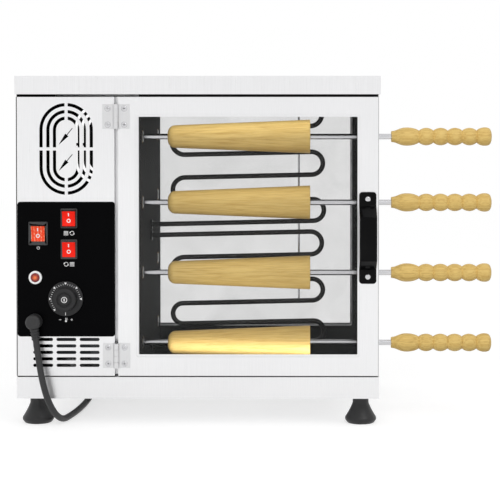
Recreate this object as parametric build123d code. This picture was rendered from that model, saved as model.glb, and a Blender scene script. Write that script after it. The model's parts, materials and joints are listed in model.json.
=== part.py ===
from build123d import *
import math
import os

# Two-sided chimney cake grill, in millimetres.
# X runs along the baking rolls, towards their grips. Y runs from the front door to the rear door.
# Z is up. The origin is on the floor, under the middle of the whole grill with its grips.

# Cabinet
body_width = 562.0
body_depth = 380.0
foot_height = 43.0
plinth_height = 33.5
front_height = 438.3
lid_height = 28.3
lid_overhang = 2.0
sheet = 1.5
panel_seam = 1.9
lid_seam = 4.2
door_gap = 5.4
door_side_gap = 0.6
plinth_flange = 55.0

# Drive compartment, at the left, and baking chamber, at the right
control_panel_width = 152.2
chamber_wall_x = 190.0
chamber_floor_rise = 7.5
chamber_ceiling_drop = 3.8
side_flange = 28.0

# Doors
door_thickness = 18.0
door_clearance = 0.5
door_hinge_stile = 27.9
door_free_stile = 29.4
door_bottom_rail = 29.2
door_top_rail = 26.85
window_corner = 4.5
door_lip = 3.75
door_lip_depth = 4.5
door_ring_setback = 3.0
glass_thickness = 4.0
glass_play = 0.3

# Hinges
knuckle_radius = 4.5
knuckle_length = 9.6
knuckle_count = 4
knuckle_gap = 0.3
hinge_pin_radius = 2.0
hinge_pin_play = 0.1
hinge_leaf = 21.0
hinge_leaf_thickness = 2.0
hinge_top_drop = 30.1
hinge_bottom_rise = 31.6

# Door handles
handle_width = 26.5
handle_length = 142.0
handle_reach = 30.0
handle_bar_depth = 9.0
handle_foot_length = 22.4
handle_foot_thickness = 4.5
handle_corner = 5.0
handle_edge_inset = 17.4
handle_drop = 1.7
handle_slope = 16.0

# Feet
foot_radius = 25.0
foot_neck_radius = 12.5
foot_neck_length = 11.5
foot_rim = 7.0
foot_sole_radius = 21.0
foot_inset_x = 27.0
foot_inset_y = 35.0

# Vents in the drive compartment
ring_vent_x = 77.7
ring_vent_top_margin = 9.4
ring_vent_plate_gap = 10.9
ring_vent_half_widths = (41.4, 30.7, 20.6)
ring_vent_slot = 5.0
ring_vent_bridge = 4.8
louvre_first_x = 41.0
louvre_pitch_x = 36.1
louvre_columns = 3
louvre_top_drop = 4.8
louvre_pitch_z = 10.05
louvre_rows = 5
louvre_length = 30.8
louvre_height = 5.0

# Control plate and what it carries
plate_x = 1.9
plate_width = 151.1
plate_rise = 61.3
plate_height = 208.8
plate_corner = 4.7
plate_thickness = 2.0
cutout_play = 0.2

power_switch_x = 34.4
power_switch_rise = 159.9
power_bezel = (29.7, 36.3)
power_rocker_size = (21.0, 24.0)

turn_switch_x = 82.0
turn_switch_top_rise = 183.2
turn_switch_bottom_rise = 135.4
turn_bezel = (25.4, 30.4)
turn_rocker_size = (20.0, 23.5)

bezel_height = 2.5
bezel_corner = 1.5
switch_rim = 1.8
switch_body_depth = 26.0
rocker_well_depth = 14.0
rocker_play = 0.3
rocker_swing = 0.8
rocker_proud = 3.0
rocker_dip = 1.4
rocker_draft = 1.0
rocker_body_depth = 7.0
rocker_tilt = 9.0

lamp_x = 29.8
lamp_rise = 91.6
lamp_ring_radius = 10.3
lamp_lens_radius = 7.0
lamp_ring_height = 3.0
lamp_body_radius = 8.2
lamp_body_depth = 16.0
lamp_lens_dome = 2.4

knob_x = 76.9
knob_rise = 58.9
knob_skirt_radius = 27.0
knob_skirt_height = 3.5
knob_grip_radius = 18.75
knob_grip_height = 15.0
knob_boss_radius = 9.3
knob_boss_drop = 2.0
knob_gap = 0.8
knob_draft = 0.9
thermostat_radius = 20.0
thermostat_depth = 30.0
thermostat_shaft_radius = 3.0
thermostat_shaft_reach = 14.0
shaft_play = 0.1

gland_x = 28.7
gland_rise = 23.8
gland_radius = 12.0
gland_reach = 22.0
gland_crown = 5.0
gland_axis_reach = 14.0
gland_stem_radius = 8.0
gland_stem_depth = 14.0
gland_nut_radius = 12.0
gland_nut_depth = 5.0
relief_length = 27.0
relief_root_radius = 7.6
relief_tip_radius = 6.2
relief_lean = 8.0

# Baking rolls, their rods and grips
roll_count = 4
roll_lid_room = 66.2
roll_floor_room = 45.2
roll_top_closer = 7.0
roll_inset = 62.0
roll_start_x = 229.9
roll_length = 225.4
roll_small_radius = 17.5
roll_large_radius = 26.8
roll_small_rounding = 11.0
roll_large_rounding = 1.2
rod_radius = 4.5
rod_play = 0.1
notch_play = 1.5
grip_start_x = 583.6
grip_bore_depth = 60.0
grip_collar_radius = 8.75
grip_collar_length = 9.0
grip_bulge_radius = 14.5
grip_bulge_length = 35.0
grip_neck_radius = 8.5
grip_ball_radius = 13.85
grip_ball_count = 4
grip_ball_pitch = 22.8
grip_waist_radius = 9.5
grip_bulb_radius = 14.7
grip_bulb_length = 23.8

# Spindles, chains and motors
tang_width = 6.4
tang_length = 20.0
tang_play = 0.2
socket_extra_depth = 1.0
spindle_radius = 8.0
spindle_back_x = 158.0
spindle_proud = 1.0
spindle_stub_radius = 5.0
spindle_stub_length = 4.0
spindle_drive_stub_length = 16.0
running_play = 0.05
bush_radius = 13.0
bush_spigot_radius = 10.0
bush_length = 14.5
chain_x = 165.5
chain_width = 5.0
chain_plate = 1.0
chain_half_height = 2.7
chain_roller_radius = 2.0
chain_roller_pitch = 12.7
sprocket_pitch_radius = 25.0
sprocket_play = 0.6
sprocket_thickness = 2.4
sprocket_teeth = 12
tooth_gap_radius = 3.2
gearbox_front_x = 150.0
gearbox_length = 38.0
gearbox_width = 84.0
gearbox_height = 56.0
motor_radius = 26.0
motor_length = 68.0
standoff_radius = 3.0
standoff_offset_y = 36.0
standoff_offset_z = 20.0

# Heating elements
heater_radius = 4.0
heater_left_gap = 36.0
heater_right_gap = 83.5
heater_lean = 1.3
heater_ceiling_gap = 11.0
heater_floor_gap = 19.0
heater_split_gap = 18.0
heater_split_drop = 2.5
upper_heater_steps = (38.0, 43.0, 38.0, 41.0, 36.0)
lower_heater_steps = (38.0, 41.0, 36.0, 34.0, 34.0)
heater_collar_radius = 8.0
heater_collar_length = 3.0
heater_tail = 14.0
heater_hole_play = 0.2
terminal_radius = 2.0
terminal_length = 10.0
support_rod_radius = 1.5
support_rod_inset = 40.0
support_rod_tail = 3.0
support_rod_last_run = 3
support_rod_play = 0.1

# Crumb tray
tray_half_depth = 150.0
tray_wall = 1.2
tray_wall_height = 8.0
tray_front_height = 15.0
tray_play = 0.3
tray_start_x = 194.0
tray_finger_radius = 5.0

# Cabinet screws
screw_head_radius = 4.0
screw_head_height = 2.0
left_screw_rises = (17.1, 152.0, 288.4)
right_screw_rises = (219.1, 313.5)
lid_screw_rise = 12.0
left_screw_y = 150.0
right_screw_y = 60.0

# Mains lead, 1.8 m from the gland to the plug
cord_length = 1800.0
cord_radius = 5.0
cord_first_run = 24.0
coil_gap = 0.9
coil_shift = 8.8
coil_centre_y = 118.0
coil_lead_in = 10.0
coil_lead_out = 25.0
plug_relief_length = 35.0
plug_relief_tip_radius = 7.5
plug_width = 40.0
plug_length = 42.0
plug_corner = 9.0
plug_pin_radius = 2.4
plug_pin_length = 19.0
plug_pin_spacing = 19.0

# Levels and places worked out from the sizes above
plinth_top = foot_height + plinth_height
lid_bottom = plinth_top + front_height
overall_height = lid_bottom + lid_height
panel_base = plinth_top + panel_seam
panel_top = lid_bottom - lid_seam
wall_top = overall_height - sheet
chamber_floor = plinth_top + chamber_floor_rise
chamber_ceiling = lid_bottom - chamber_ceiling_drop

grip_balls_length = grip_ball_count * grip_ball_pitch
grip_length = grip_collar_length + grip_bulge_length + grip_balls_length + grip_bulb_length
grip_end_x = grip_start_x + grip_length
left = -(grip_end_x - lid_overhang) / 2
right = left + body_width
front = -body_depth / 2
inner_front = front + sheet
plate_front = front - plate_thickness
bezel_front = plate_front - bezel_height
door_back = front + door_thickness
chamber_front = door_back + door_clearance
chamber_left = left + chamber_wall_x
chamber_right = right - sheet
roll_y = front + roll_inset
door_left_x = left + control_panel_width + door_gap
door_right_x = right - door_side_gap
hinge_x = left + control_panel_width + door_gap / 2
hinge_y = front - knuckle_radius

plate_base = panel_base + plate_rise
plate_top = plate_base + plate_height
power_switch_z = plate_base + power_switch_rise
turn_switch_top_z = plate_base + turn_switch_top_rise
turn_switch_bottom_z = plate_base + turn_switch_bottom_rise
lamp_z = plate_base + lamp_rise
knob_z = plate_base + knob_rise
gland_z = plate_base + gland_rise
ring_vent_top = panel_top - ring_vent_top_margin
ring_vent_bottom = plate_top + ring_vent_plate_gap
ring_vent_z = (ring_vent_top + ring_vent_bottom) / 2
ring_vent_straight = ring_vent_top - ring_vent_bottom - 2 * ring_vent_half_widths[0]

# Heights of the rolls from the top down; the top pair stands a little closer together
highest_roll = lid_bottom - roll_lid_room
lowest_roll = plinth_top + roll_floor_room
roll_pitch = (highest_roll - lowest_roll + roll_top_closer) / (roll_count - 1)
roll_heights = [highest_roll] + [lowest_roll + i * roll_pitch for i in reversed(range(roll_count - 1))]


def block(x_range, y_range, z_range):
    """A box between a low and a high value on each axis."""
    sizes = [high - low for low, high in (x_range, y_range, z_range)]
    middles = [(high + low) / 2 for low, high in (x_range, y_range, z_range)]
    return Pos(*middles) * Box(*sizes)


def bar_x(radius, x_low, x_high, y, z):
    """A round bar along X."""
    return Pos((x_low + x_high) / 2, y, z) * Rot(0, 90, 0) * Cylinder(radius, x_high - x_low)


def bar_y(radius, y_low, y_high, x, z):
    """A round bar along Y."""
    return Pos(x, (y_low + y_high) / 2, z) * Rot(90, 0, 0) * Cylinder(radius, y_high - y_low)


def bar_z(radius, z_low, z_high, x, y):
    """A round bar along Z."""
    return Pos(x, y, (z_low + z_high) / 2) * Cylinder(radius, z_high - z_low)


def facing(outline, y_low, y_high):
    """An outline drawn in X and Z, made solid between two depths."""
    back = Plane((0, y_high, 0), x_dir=(1, 0, 0), z_dir=(0, -1, 0))
    return extrude(back * outline, y_high - y_low)


def end_on(outline, x_low, x_high):
    """An outline drawn in Y and Z, made solid between two places along X."""
    start = Plane((x_low, 0, 0), x_dir=(0, 1, 0), z_dir=(1, 0, 0))
    return extrude(start * outline, x_high - x_low)


def rectangle(x_range, z_range):
    """A rectangle between a low and a high value on each of its two axes."""
    width = x_range[1] - x_range[0]
    height = z_range[1] - z_range[0]
    return Pos(sum(x_range) / 2, sum(z_range) / 2) * Rectangle(width, height)


def at_rear(piece):
    """The same piece on the other side of the grill."""
    return mirror(piece, Plane.XZ)


def turned_about_x(profile, x, y, z):
    """A profile of places along X and radii, spun about a line along X."""
    return Pos(x, y, z) * revolve(profile, Axis.X)


def save(name, *solids):
    """Write one sub-part, made of one or more separate solids."""
    shape = solids[0] if len(solids) == 1 else Compound(children=list(solids))
    shape.label = name
    export_step(shape, f"parts/{name}.step")


# Cabinet sheets

def make_base_plinth():
    """An inverted tray with a flange turned in along its lower edge."""
    outside = block((left, right), (front, -front), (foot_height, plinth_top))
    inside = block((left + sheet, right - sheet), (front + sheet, -front - sheet),
                   (foot_height + sheet, plinth_top - sheet))
    mouth = block((left + plinth_flange, right - plinth_flange),
                  (front + plinth_flange, -front - plinth_flange), (foot_height, foot_height + sheet))
    return outside - inside - mouth


def make_top_cover():
    """A folded lid whose skirt hangs just outside the side panels."""
    low_x = left - lid_overhang
    high_x = right + lid_overhang
    low_y = front - lid_overhang
    outside = block((low_x, high_x), (low_y, -low_y), (lid_bottom, overall_height))
    inside = block((low_x + sheet, high_x - sheet), (low_y + sheet, -low_y - sheet),
                   (lid_bottom, wall_top))
    return outside - inside


def make_left_side_panel():
    return block((left, left + sheet), (inner_front, -inner_front), (plinth_top, wall_top))


def rod_notches():
    """Open-fronted slots that let each rod be lifted out to the front or to the rear."""
    half = rod_radius + notch_play
    notches = []
    for height in roll_heights:
        slot = block((chamber_right - side_flange, right), (chamber_front, roll_y),
                     (height - half, height + half))
        notches.append(slot + bar_x(half, chamber_right - side_flange, right, roll_y, height))
    return notches


def make_right_side_panel():
    """The chamber's outer wall, flanged inwards at both door openings."""
    wall = block((chamber_right, right), (chamber_front, -chamber_front), (plinth_top, wall_top))
    flange = block((chamber_right - side_flange, chamber_right),
                   (chamber_front, chamber_front + sheet), (chamber_floor, chamber_ceiling))
    panel = wall + flange + at_rear(flange)
    for notch in rod_notches():
        panel = panel - notch - at_rear(notch)
    slot_half = tray_half_depth + tray_play
    slot = block((chamber_right, right), (-slot_half, slot_half),
                 (chamber_floor, chamber_floor + tray_front_height + tray_play * 2))
    return panel - slot


def stadium(half_width, straight):
    """An upright outline with two straight sides and round ends."""
    return SlotOverall(straight + 2 * half_width, 2 * half_width, rotation=90)


def ring_vent():
    """Concentric slotted rings, each split by an upright and a level bridge."""
    openings = []
    for half_width in ring_vent_half_widths:
        ring = stadium(half_width, ring_vent_straight)
        ring -= stadium(half_width - ring_vent_slot, ring_vent_straight)
        tall = ring_vent_straight + 2 * half_width + 2
        ring -= Rectangle(ring_vent_bridge, tall)
        ring -= Rectangle(2 * half_width + 2, ring_vent_bridge)
        openings.append(Pos(left + ring_vent_x, ring_vent_z) * ring)
    return openings


def louvres():
    """Rows of round-ended slots below the control plate."""
    openings = []
    for column in range(louvre_columns):
        for row in range(louvre_rows):
            x = left + louvre_first_x + column * louvre_pitch_x
            z = plate_base - louvre_top_drop - row * louvre_pitch_z
            openings.append(Pos(x, z) * SlotOverall(louvre_length, louvre_height))
    return openings


def control_cutouts():
    """Holes shared by the control plate and the front panel behind it."""
    def window(x, z, rocker_size):
        width = rocker_size[0] + 2 * (rocker_play + switch_rim + cutout_play)
        height = rocker_size[1] + 2 * (rocker_swing + switch_rim + cutout_play)
        return Pos(left + x, z) * Rectangle(width, height)
    return [
        window(power_switch_x, power_switch_z, power_rocker_size),
        window(turn_switch_x, turn_switch_top_z, turn_rocker_size),
        window(turn_switch_x, turn_switch_bottom_z, turn_rocker_size),
        Pos(left + lamp_x, lamp_z) * Circle(lamp_body_radius + cutout_play),
        Pos(left + knob_x, knob_z) * Circle(thermostat_shaft_radius + cutout_play),
        Pos(left + gland_x, gland_z) * Circle(gland_stem_radius + cutout_play),
    ]


def folded_panel(openings):
    """A drive compartment panel: its face, a return beside the door and a flange behind it."""
    edge = left + control_panel_width
    face = rectangle((left, edge), (panel_base, panel_top))
    for opening in openings:
        face -= opening
    panel = facing(face, front, inner_front)
    panel += block((edge - sheet, edge), (inner_front, chamber_front + sheet), (panel_base, panel_top))
    panel += block((edge, chamber_left - sheet), (chamber_front, chamber_front + sheet),
                   (panel_base, panel_top))
    return panel


def make_front_control_panel():
    return folded_panel(ring_vent() + louvres() + control_cutouts())


def make_rear_service_panel():
    return at_rear(folded_panel(ring_vent() + louvres()))


def heater_runs(which):
    """Heights of an element's runs at its middle, from the top down, fitted between its ends."""
    split = (chamber_floor + chamber_ceiling) / 2 - heater_split_drop
    if which == "upper":
        top = chamber_ceiling - heater_ceiling_gap
        bottom = split + heater_split_gap / 2
        steps = upper_heater_steps
    else:
        top = split - heater_split_gap / 2
        bottom = chamber_floor + heater_floor_gap
        steps = lower_heater_steps
    fit = (top - bottom) / sum(steps)
    return [top - fit * sum(steps[:i]) for i in range(len(steps) + 1)]


def heater_plane(which):
    """The element's own plane, leaning so that its runs rise to the right; its origin is its middle."""
    near, far = heater_reach()
    runs = heater_runs(which)
    lean = math.radians(heater_lean)
    return Plane(((near + far) / 2, 0, (runs[0] + runs[-1]) / 2),
                 x_dir=(math.cos(lean), 0, math.sin(lean)), z_dir=(0, -1, 0))


def heater_reach():
    """Where the bends of both elements turn at the left and at the right."""
    return chamber_left + heater_left_gap, chamber_right - heater_right_gap


def heater_end(which, rise, x):
    """Where a leaning run passes a place along X: its distance along the run, and its height."""
    plane = heater_plane(which)
    lean = math.radians(heater_lean)
    along = (x - plane.origin.X + rise * math.sin(lean)) / math.cos(lean)
    return along, plane.origin.Z + along * math.sin(lean) + rise * math.cos(lean)


def heater_rises(which):
    """Heights of the runs above the element's middle."""
    runs = heater_runs(which)
    return [height - (runs[0] + runs[-1]) / 2 for height in runs]


def heater_ends():
    """Height of each heating element end at the chamber's left wall."""
    heights = []
    for which in ("upper", "lower"):
        rises = heater_rises(which)
        heights += [heater_end(which, rise, chamber_left)[1] for rise in (rises[0], rises[-1])]
    return heights


def make_cavity_liner():
    """Left wall, floor and ceiling of the baking chamber."""
    wall = block((chamber_left - sheet, chamber_left), (chamber_front, -chamber_front),
                 (plinth_top, wall_top))
    for height in roll_heights:
        hole = bar_x(bush_spigot_radius, chamber_left - sheet, chamber_left, roll_y, height)
        wall = wall - hole - at_rear(hole)
    for height in heater_ends():
        wall -= bar_x(heater_radius + heater_hole_play, chamber_left - sheet, chamber_left, 0, height)
    span = (chamber_left, chamber_right)
    floor = block(span, (chamber_front, -chamber_front), (chamber_floor - sheet, chamber_floor))
    floor_lip = block(span, (chamber_front, chamber_front + sheet), (plinth_top, chamber_floor - sheet))
    ceiling = block(span, (chamber_front, -chamber_front), (chamber_ceiling, chamber_ceiling + sheet))
    ceiling_lip = block(span, (chamber_front, chamber_front + sheet),
                        (chamber_ceiling + sheet, wall_top))
    return wall + floor + ceiling + floor_lip + at_rear(floor_lip) + ceiling_lip + at_rear(ceiling_lip)


def make_foot(x, y):
    """A conical foot with a rounded rim, and a straight neck under the plinth."""
    outline = Polyline((0, 0), (foot_sole_radius, 0), (foot_radius, foot_rim),
                       (foot_neck_radius, foot_height - foot_neck_length),
                       (foot_neck_radius, foot_height), (0, foot_height), close=True)
    foot = revolve(Plane.XZ * make_face(outline), Axis.Z)
    rim = foot.edges().filter_by(GeomType.CIRCLE).sort_by(SortBy.RADIUS)[-1]
    return Pos(x, y, 0) * fillet(rim, foot_rim / 2)


def foot_places():
    """The four corners where the feet stand."""
    x = (left + foot_inset_x, right - foot_inset_x)
    y = (front + foot_inset_y, -front - foot_inset_y)
    return [(a, b) for a in x for b in y]


# Hinges and doors

def knuckle_heights(centre_z):
    """Lowest and highest point of each of a hinge's knuckles, with the play between them."""
    low = centre_z - knuckle_count * knuckle_length / 2
    starts = [low + i * knuckle_length for i in range(knuckle_count)]
    return [(start + knuckle_gap / 2, start + knuckle_length - knuckle_gap / 2) for start in starts]


def make_hinge_half(centre_z, side):
    """One leaf of a butt hinge: side -1 is screwed to the panel, side 1 to the door."""
    knuckles = knuckle_heights(centre_z)
    low, high = knuckles[0][0], knuckles[-1][1]
    reach = hinge_x + side * hinge_leaf
    near = hinge_x + side * (knuckle_radius + knuckle_gap)
    leaf = block(sorted((near, reach)), (front - hinge_leaf_thickness, front), (low, high))
    own = knuckles[0::2] if side < 0 else knuckles[1::2]
    for base, top in own:
        leaf += block(sorted((hinge_x, near)), (front - hinge_leaf_thickness, front), (base, top))
        leaf += bar_z(knuckle_radius, base, top, hinge_x, hinge_y)
    if side < 0:
        return leaf + bar_z(hinge_pin_radius, low, high, hinge_x, hinge_y)
    bore = hinge_pin_radius + hinge_pin_play
    return leaf - bar_z(bore, low, high, hinge_x, hinge_y)


def make_hinges(side):
    centres = (panel_top - hinge_top_drop, panel_base + hinge_bottom_rise)
    return [make_hinge_half(centre, side) for centre in centres]


def door_outline():
    return rectangle((door_left_x, door_right_x), (panel_base, panel_top))


def window_outline(grow):
    """The window's rounded outline, enlarged on every side by the amount given."""
    x_low = door_left_x + door_hinge_stile
    x_high = door_right_x - door_free_stile
    z_low = panel_base + door_bottom_rail
    z_high = panel_top - door_top_rail
    corner = max(window_corner + grow, 1.0)
    window = RectangleRounded(x_high - x_low + 2 * grow, z_high - z_low + 2 * grow, corner)
    return Pos((x_low + x_high) / 2, (z_low + z_high) / 2) * window


def door_solids():
    """The outer pan of a door, with its glazing lip, and the backing ring that closes it."""
    back_sheet = door_back - sheet
    inset = rectangle((door_left_x + sheet, door_right_x - sheet),
                      (panel_base + sheet, panel_top - sheet))
    lip_back = front + door_lip_depth
    pan = facing(door_outline() - window_outline(0), front, inner_front)
    pan += facing(door_outline() - inset, inner_front, back_sheet)
    pan += facing(window_outline(sheet) - window_outline(0), inner_front, lip_back)
    pan += facing(window_outline(sheet) - window_outline(-door_lip), lip_back - sheet, lip_back)
    ring_edge = door_ring_setback - door_lip
    ring_opening = window_outline(ring_edge)
    ring = facing(door_outline() - ring_opening, back_sheet, door_back)
    glass_back = lip_back + glass_thickness
    ring += facing(window_outline(ring_edge + sheet) - ring_opening, glass_back, back_sheet)
    return [pan, ring]


def make_door_glass():
    lip_back = front + door_lip_depth
    return facing(window_outline(sheet - glass_play), lip_back, lip_back + glass_thickness)


def make_door_handle():
    """A bow handle: two flat feet with rounded ends, and a bar between them that stands off."""
    half = handle_length / 2
    bend = half - handle_foot_length
    bar_end = bend - handle_slope
    foot = front - handle_foot_thickness
    outside = front - handle_reach
    inside = outside + handle_bar_depth
    upper = [(inside, bar_end), (front, bend), (front, half), (foot, half), (foot, bend), (outside, bar_end)]
    lower = [(y, -z) for y, z in reversed(upper)]
    outline = make_face(Polyline(*upper, *lower, close=True))
    centre_z = (panel_base + panel_top) / 2 - handle_drop
    low_x = door_right_x - handle_edge_inset - handle_width / 2
    handle = end_on(Pos(0, centre_z) * outline, low_x, low_x + handle_width)
    return fillet(handle.edges().filter_by(Axis.Y), handle_corner)


# Controls

def switch_places():
    """Centre, bezel and rocker size of the power switch and of the two rotation switches."""
    return {
        "power": (left + power_switch_x, power_switch_z, power_bezel, power_rocker_size),
        "left": (left + turn_switch_x, turn_switch_top_z, turn_bezel, turn_rocker_size),
        "right": (left + turn_switch_x, turn_switch_bottom_z, turn_bezel, turn_rocker_size),
    }


def make_switch_housing(name):
    """A bezel and the body behind it, with a well in which the rocker tilts."""
    x, z, bezel, rocker = switch_places()[name]
    well = (rocker[0] + 2 * rocker_play, rocker[1] + 2 * rocker_swing)
    body = (well[0] + 2 * switch_rim, well[1] + 2 * switch_rim)
    housing = facing(Pos(x, z) * RectangleRounded(*bezel, bezel_corner), bezel_front, plate_front)
    housing += facing(Pos(x, z) * Rectangle(*body), plate_front, bezel_front + switch_body_depth)
    return housing - facing(Pos(x, z) * Rectangle(*well), bezel_front, bezel_front + rocker_well_depth)


def make_rocker(name):
    """A rocker with a shallow dip across its face, tilted with its lower half pressed in."""
    x, z, bezel, rocker = switch_places()[name]
    half = rocker[1] / 2
    waist = rocker_body_depth / 2
    outline = Polyline((-rocker_proud, half), (waist, half - rocker_draft),
                       (rocker_body_depth, half / 3), (rocker_body_depth, -half / 3),
                       (waist, rocker_draft - half), (-rocker_proud, -half),
                       (rocker_dip - rocker_proud, 0), close=True)
    solid = end_on(make_face(outline), -rocker[0] / 2, rocker[0] / 2)
    return Pos(x, bezel_front, z) * Rot(rocker_tilt, 0, 0) * solid


def make_pilot_lamp_bezel():
    x = left + lamp_x
    ring_front = plate_front - lamp_ring_height
    bezel = bar_y(lamp_ring_radius, ring_front, plate_front, x, lamp_z)
    bezel += bar_y(lamp_body_radius, plate_front, plate_front + lamp_body_depth, x, lamp_z)
    return bezel - bar_y(lamp_lens_radius, ring_front, plate_front, x, lamp_z)


def make_pilot_lamp_lens():
    """A domed lens seated in the ring."""
    rim = plate_front - lamp_ring_height
    radius = lamp_lens_radius - shaft_play
    crown = rim - lamp_lens_dome
    outline = make_face([
        Line((0, plate_front), (radius, plate_front)),
        Line((radius, plate_front), (radius, rim)),
        TangentArc((0, crown), (radius, rim), tangent=(1, 0)),
        Line((0, crown), (0, plate_front)),
    ])
    return Pos(left + lamp_x, 0, lamp_z) * revolve(outline, Axis.Y)


def make_control_plate():
    x = left + plate_x + plate_width / 2
    z = (plate_base + plate_top) / 2
    outline = Pos(x, z) * RectangleRounded(plate_width, plate_height, plate_corner)
    for cutout in control_cutouts():
        outline -= cutout
    return facing(outline, plate_front, front)


def make_thermostat_body():
    x = left + knob_x
    body = bar_y(thermostat_radius, inner_front, inner_front + thermostat_depth, x, knob_z)
    shaft_front = plate_front - thermostat_shaft_reach
    return body + bar_y(thermostat_shaft_radius, shaft_front, inner_front, x, knob_z)


def make_thermostat_knob():
    """A skirt for the scale, a tapered grip and a sunken ring round the centre boss."""
    base = plate_front - knob_gap
    skirt_front = base - knob_skirt_height
    grip_front = skirt_front - knob_grip_height
    x = left + knob_x
    skirt = bar_y(knob_skirt_radius, skirt_front, base, x, knob_z)
    skirt = chamfer(skirt.edges().group_by(Axis.Y)[0], knob_skirt_height / 3)
    start = Plane((x, skirt_front, knob_z), x_dir=(1, 0, 0), z_dir=(0, -1, 0))
    finish = start.offset(knob_grip_height)
    grip = loft([start * Circle(knob_grip_radius), finish * Circle(knob_grip_radius - knob_draft)])
    groove = bar_y(knob_boss_radius + knob_boss_drop, grip_front, grip_front + knob_boss_drop, x, knob_z)
    groove -= bar_y(knob_boss_radius, grip_front, grip_front + knob_boss_drop, x, knob_z)
    bore = bar_y(thermostat_shaft_radius + shaft_play, plate_front - thermostat_shaft_reach - shaft_play,
                 base, x, knob_z)
    return skirt + grip - groove - bore


def gland_exit():
    """Where the mains lead leaves the gland's bend relief, and the way it points."""
    lean = math.radians(relief_lean)
    way = Vector(math.sin(lean), 0, -math.cos(lean))
    start = Vector(left + gland_x, plate_front - gland_axis_reach, gland_z)
    return start + way * relief_length, way


def make_cable_gland():
    """A round right-angled gland whose tapered relief points down along the lead."""
    x = left + gland_x
    mouth, way = gland_exit()
    head = bar_y(gland_radius, plate_front - gland_reach, plate_front, x, gland_z)
    head = fillet(head.edges().group_by(Axis.Y)[0], gland_crown)
    head += bar_y(gland_stem_radius, plate_front, plate_front + gland_stem_depth, x, gland_z)
    root = Plane(mouth - way * relief_length, z_dir=way)
    tip = Plane(mouth, z_dir=way)
    return head + loft([root * Circle(relief_root_radius), tip * Circle(relief_tip_radius)])


def make_gland_nut():
    """The nut that clamps the gland from inside the panel."""
    nut = bar_y(gland_nut_radius, inner_front, inner_front + gland_nut_depth, left + gland_x, gland_z)
    hole = gland_stem_radius + shaft_play
    return nut - bar_y(hole, inner_front, inner_front + gland_nut_depth, left + gland_x, gland_z)


# Baking rolls

def make_roll(y, z):
    """A tapered wooden roll, rounded at its small end."""
    end = roll_start_x + roll_length
    bore = rod_radius + rod_play
    outline = make_face(Polyline((roll_start_x, bore), (roll_start_x, roll_small_radius),
                                 (end, roll_large_radius), (end, bore), close=True))
    corners = outline.vertices().sort_by(Axis.Y)[2:].sort_by(Axis.X)
    outline = fillet(corners[0], roll_small_rounding)
    corner = outline.vertices().sort_by(Axis.Y)[-1]
    outline = fillet(corner, roll_large_rounding)
    return turned_about_x(outline, left, y, z)


def make_roll_rod(y, z):
    """A round rod with a square tang at the driven end."""
    tang_start = chamber_left + spindle_proud - tang_length
    rod_start = chamber_left + spindle_proud + tang_play
    rod_end = left + grip_start_x + grip_bore_depth
    half = tang_width / 2
    tang = block((tang_start, rod_start), (y - half, y + half), (z - half, z + half))
    return bar_x(rod_radius, rod_start, rod_end, y, z) + tang


def make_roll_grip(y, z):
    """A turned grip: collar, tulip, a row of balls and an end bulb."""
    x = grip_start_x
    edges = [Line((x, rod_radius + rod_play), (x, grip_collar_radius))]
    edges.append(Line((x, grip_collar_radius), (x + grip_collar_length, grip_collar_radius)))
    x += grip_collar_length
    edges.append(ThreePointArc((x, grip_collar_radius), (x + grip_bulge_length / 2, grip_bulge_radius),
                               (x + grip_bulge_length, grip_neck_radius)))
    x += grip_bulge_length
    radius = grip_neck_radius
    for _ in range(grip_ball_count):
        edges.append(ThreePointArc((x, radius), (x + grip_ball_pitch / 2, grip_ball_radius),
                                   (x + grip_ball_pitch, grip_waist_radius)))
        x += grip_ball_pitch
        radius = grip_waist_radius
    shoulder = x + grip_bulb_length * 0.9
    edges.append(ThreePointArc((x, radius), (x + grip_bulb_length / 2, grip_bulb_radius),
                               (shoulder, radius)))
    end = x + grip_bulb_length
    edges.append(TangentArc((end, 0), (shoulder, radius), tangent=(0, 1)))
    bore_end = grip_start_x + grip_bore_depth + rod_play
    edges.append(Line((end, 0), (bore_end, 0)))
    edges.append(Line((bore_end, 0), (bore_end, rod_radius + rod_play)))
    edges.append(Line((bore_end, rod_radius + rod_play), (grip_start_x, rod_radius + rod_play)))
    return turned_about_x(make_face(edges), left, y, z)


# Drive

def make_spindle(y, z, stub):
    """A tube with a square socket, its sprocket and a stub at the back."""
    back = left + spindle_back_x
    mouth = chamber_left + spindle_proud
    spindle = bar_x(spindle_radius, back, mouth, y, z)
    spindle += bar_x(spindle_stub_radius, back - stub, back, y, z)
    wheel = Circle(sprocket_pitch_radius - chain_half_height - sprocket_play)
    gap_centre = sprocket_pitch_radius - chain_half_height + tooth_gap_radius / 3
    for place in PolarLocations(gap_centre, sprocket_teeth):
        wheel -= place * Circle(tooth_gap_radius)
    half = sprocket_thickness / 2
    spindle += end_on(Pos(y, z) * wheel, left + chain_x - half, left + chain_x + half)
    width = tang_width + 2 * tang_play
    depth = tang_length + socket_extra_depth
    return spindle - Pos(mouth - depth / 2, y, z) * Box(depth, width, width)


def make_bush(y, z):
    """A flanged bush in the chamber's left wall."""
    wall = chamber_left - sheet
    bush = bar_x(bush_radius, wall - bush_length, wall, y, z)
    bush += bar_x(bush_spigot_radius, wall, chamber_left, y, z)
    return bush - bar_x(spindle_radius + running_play, wall - bush_length, chamber_left, y, z)


def chain_outline(offset):
    """The chain's closed path round the top and bottom sprockets, grown by an offset."""
    top, bottom = roll_heights[0], roll_heights[-1]
    return Pos(0, (top + bottom) / 2) * stadium(sprocket_pitch_radius + offset, top - bottom)


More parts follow.
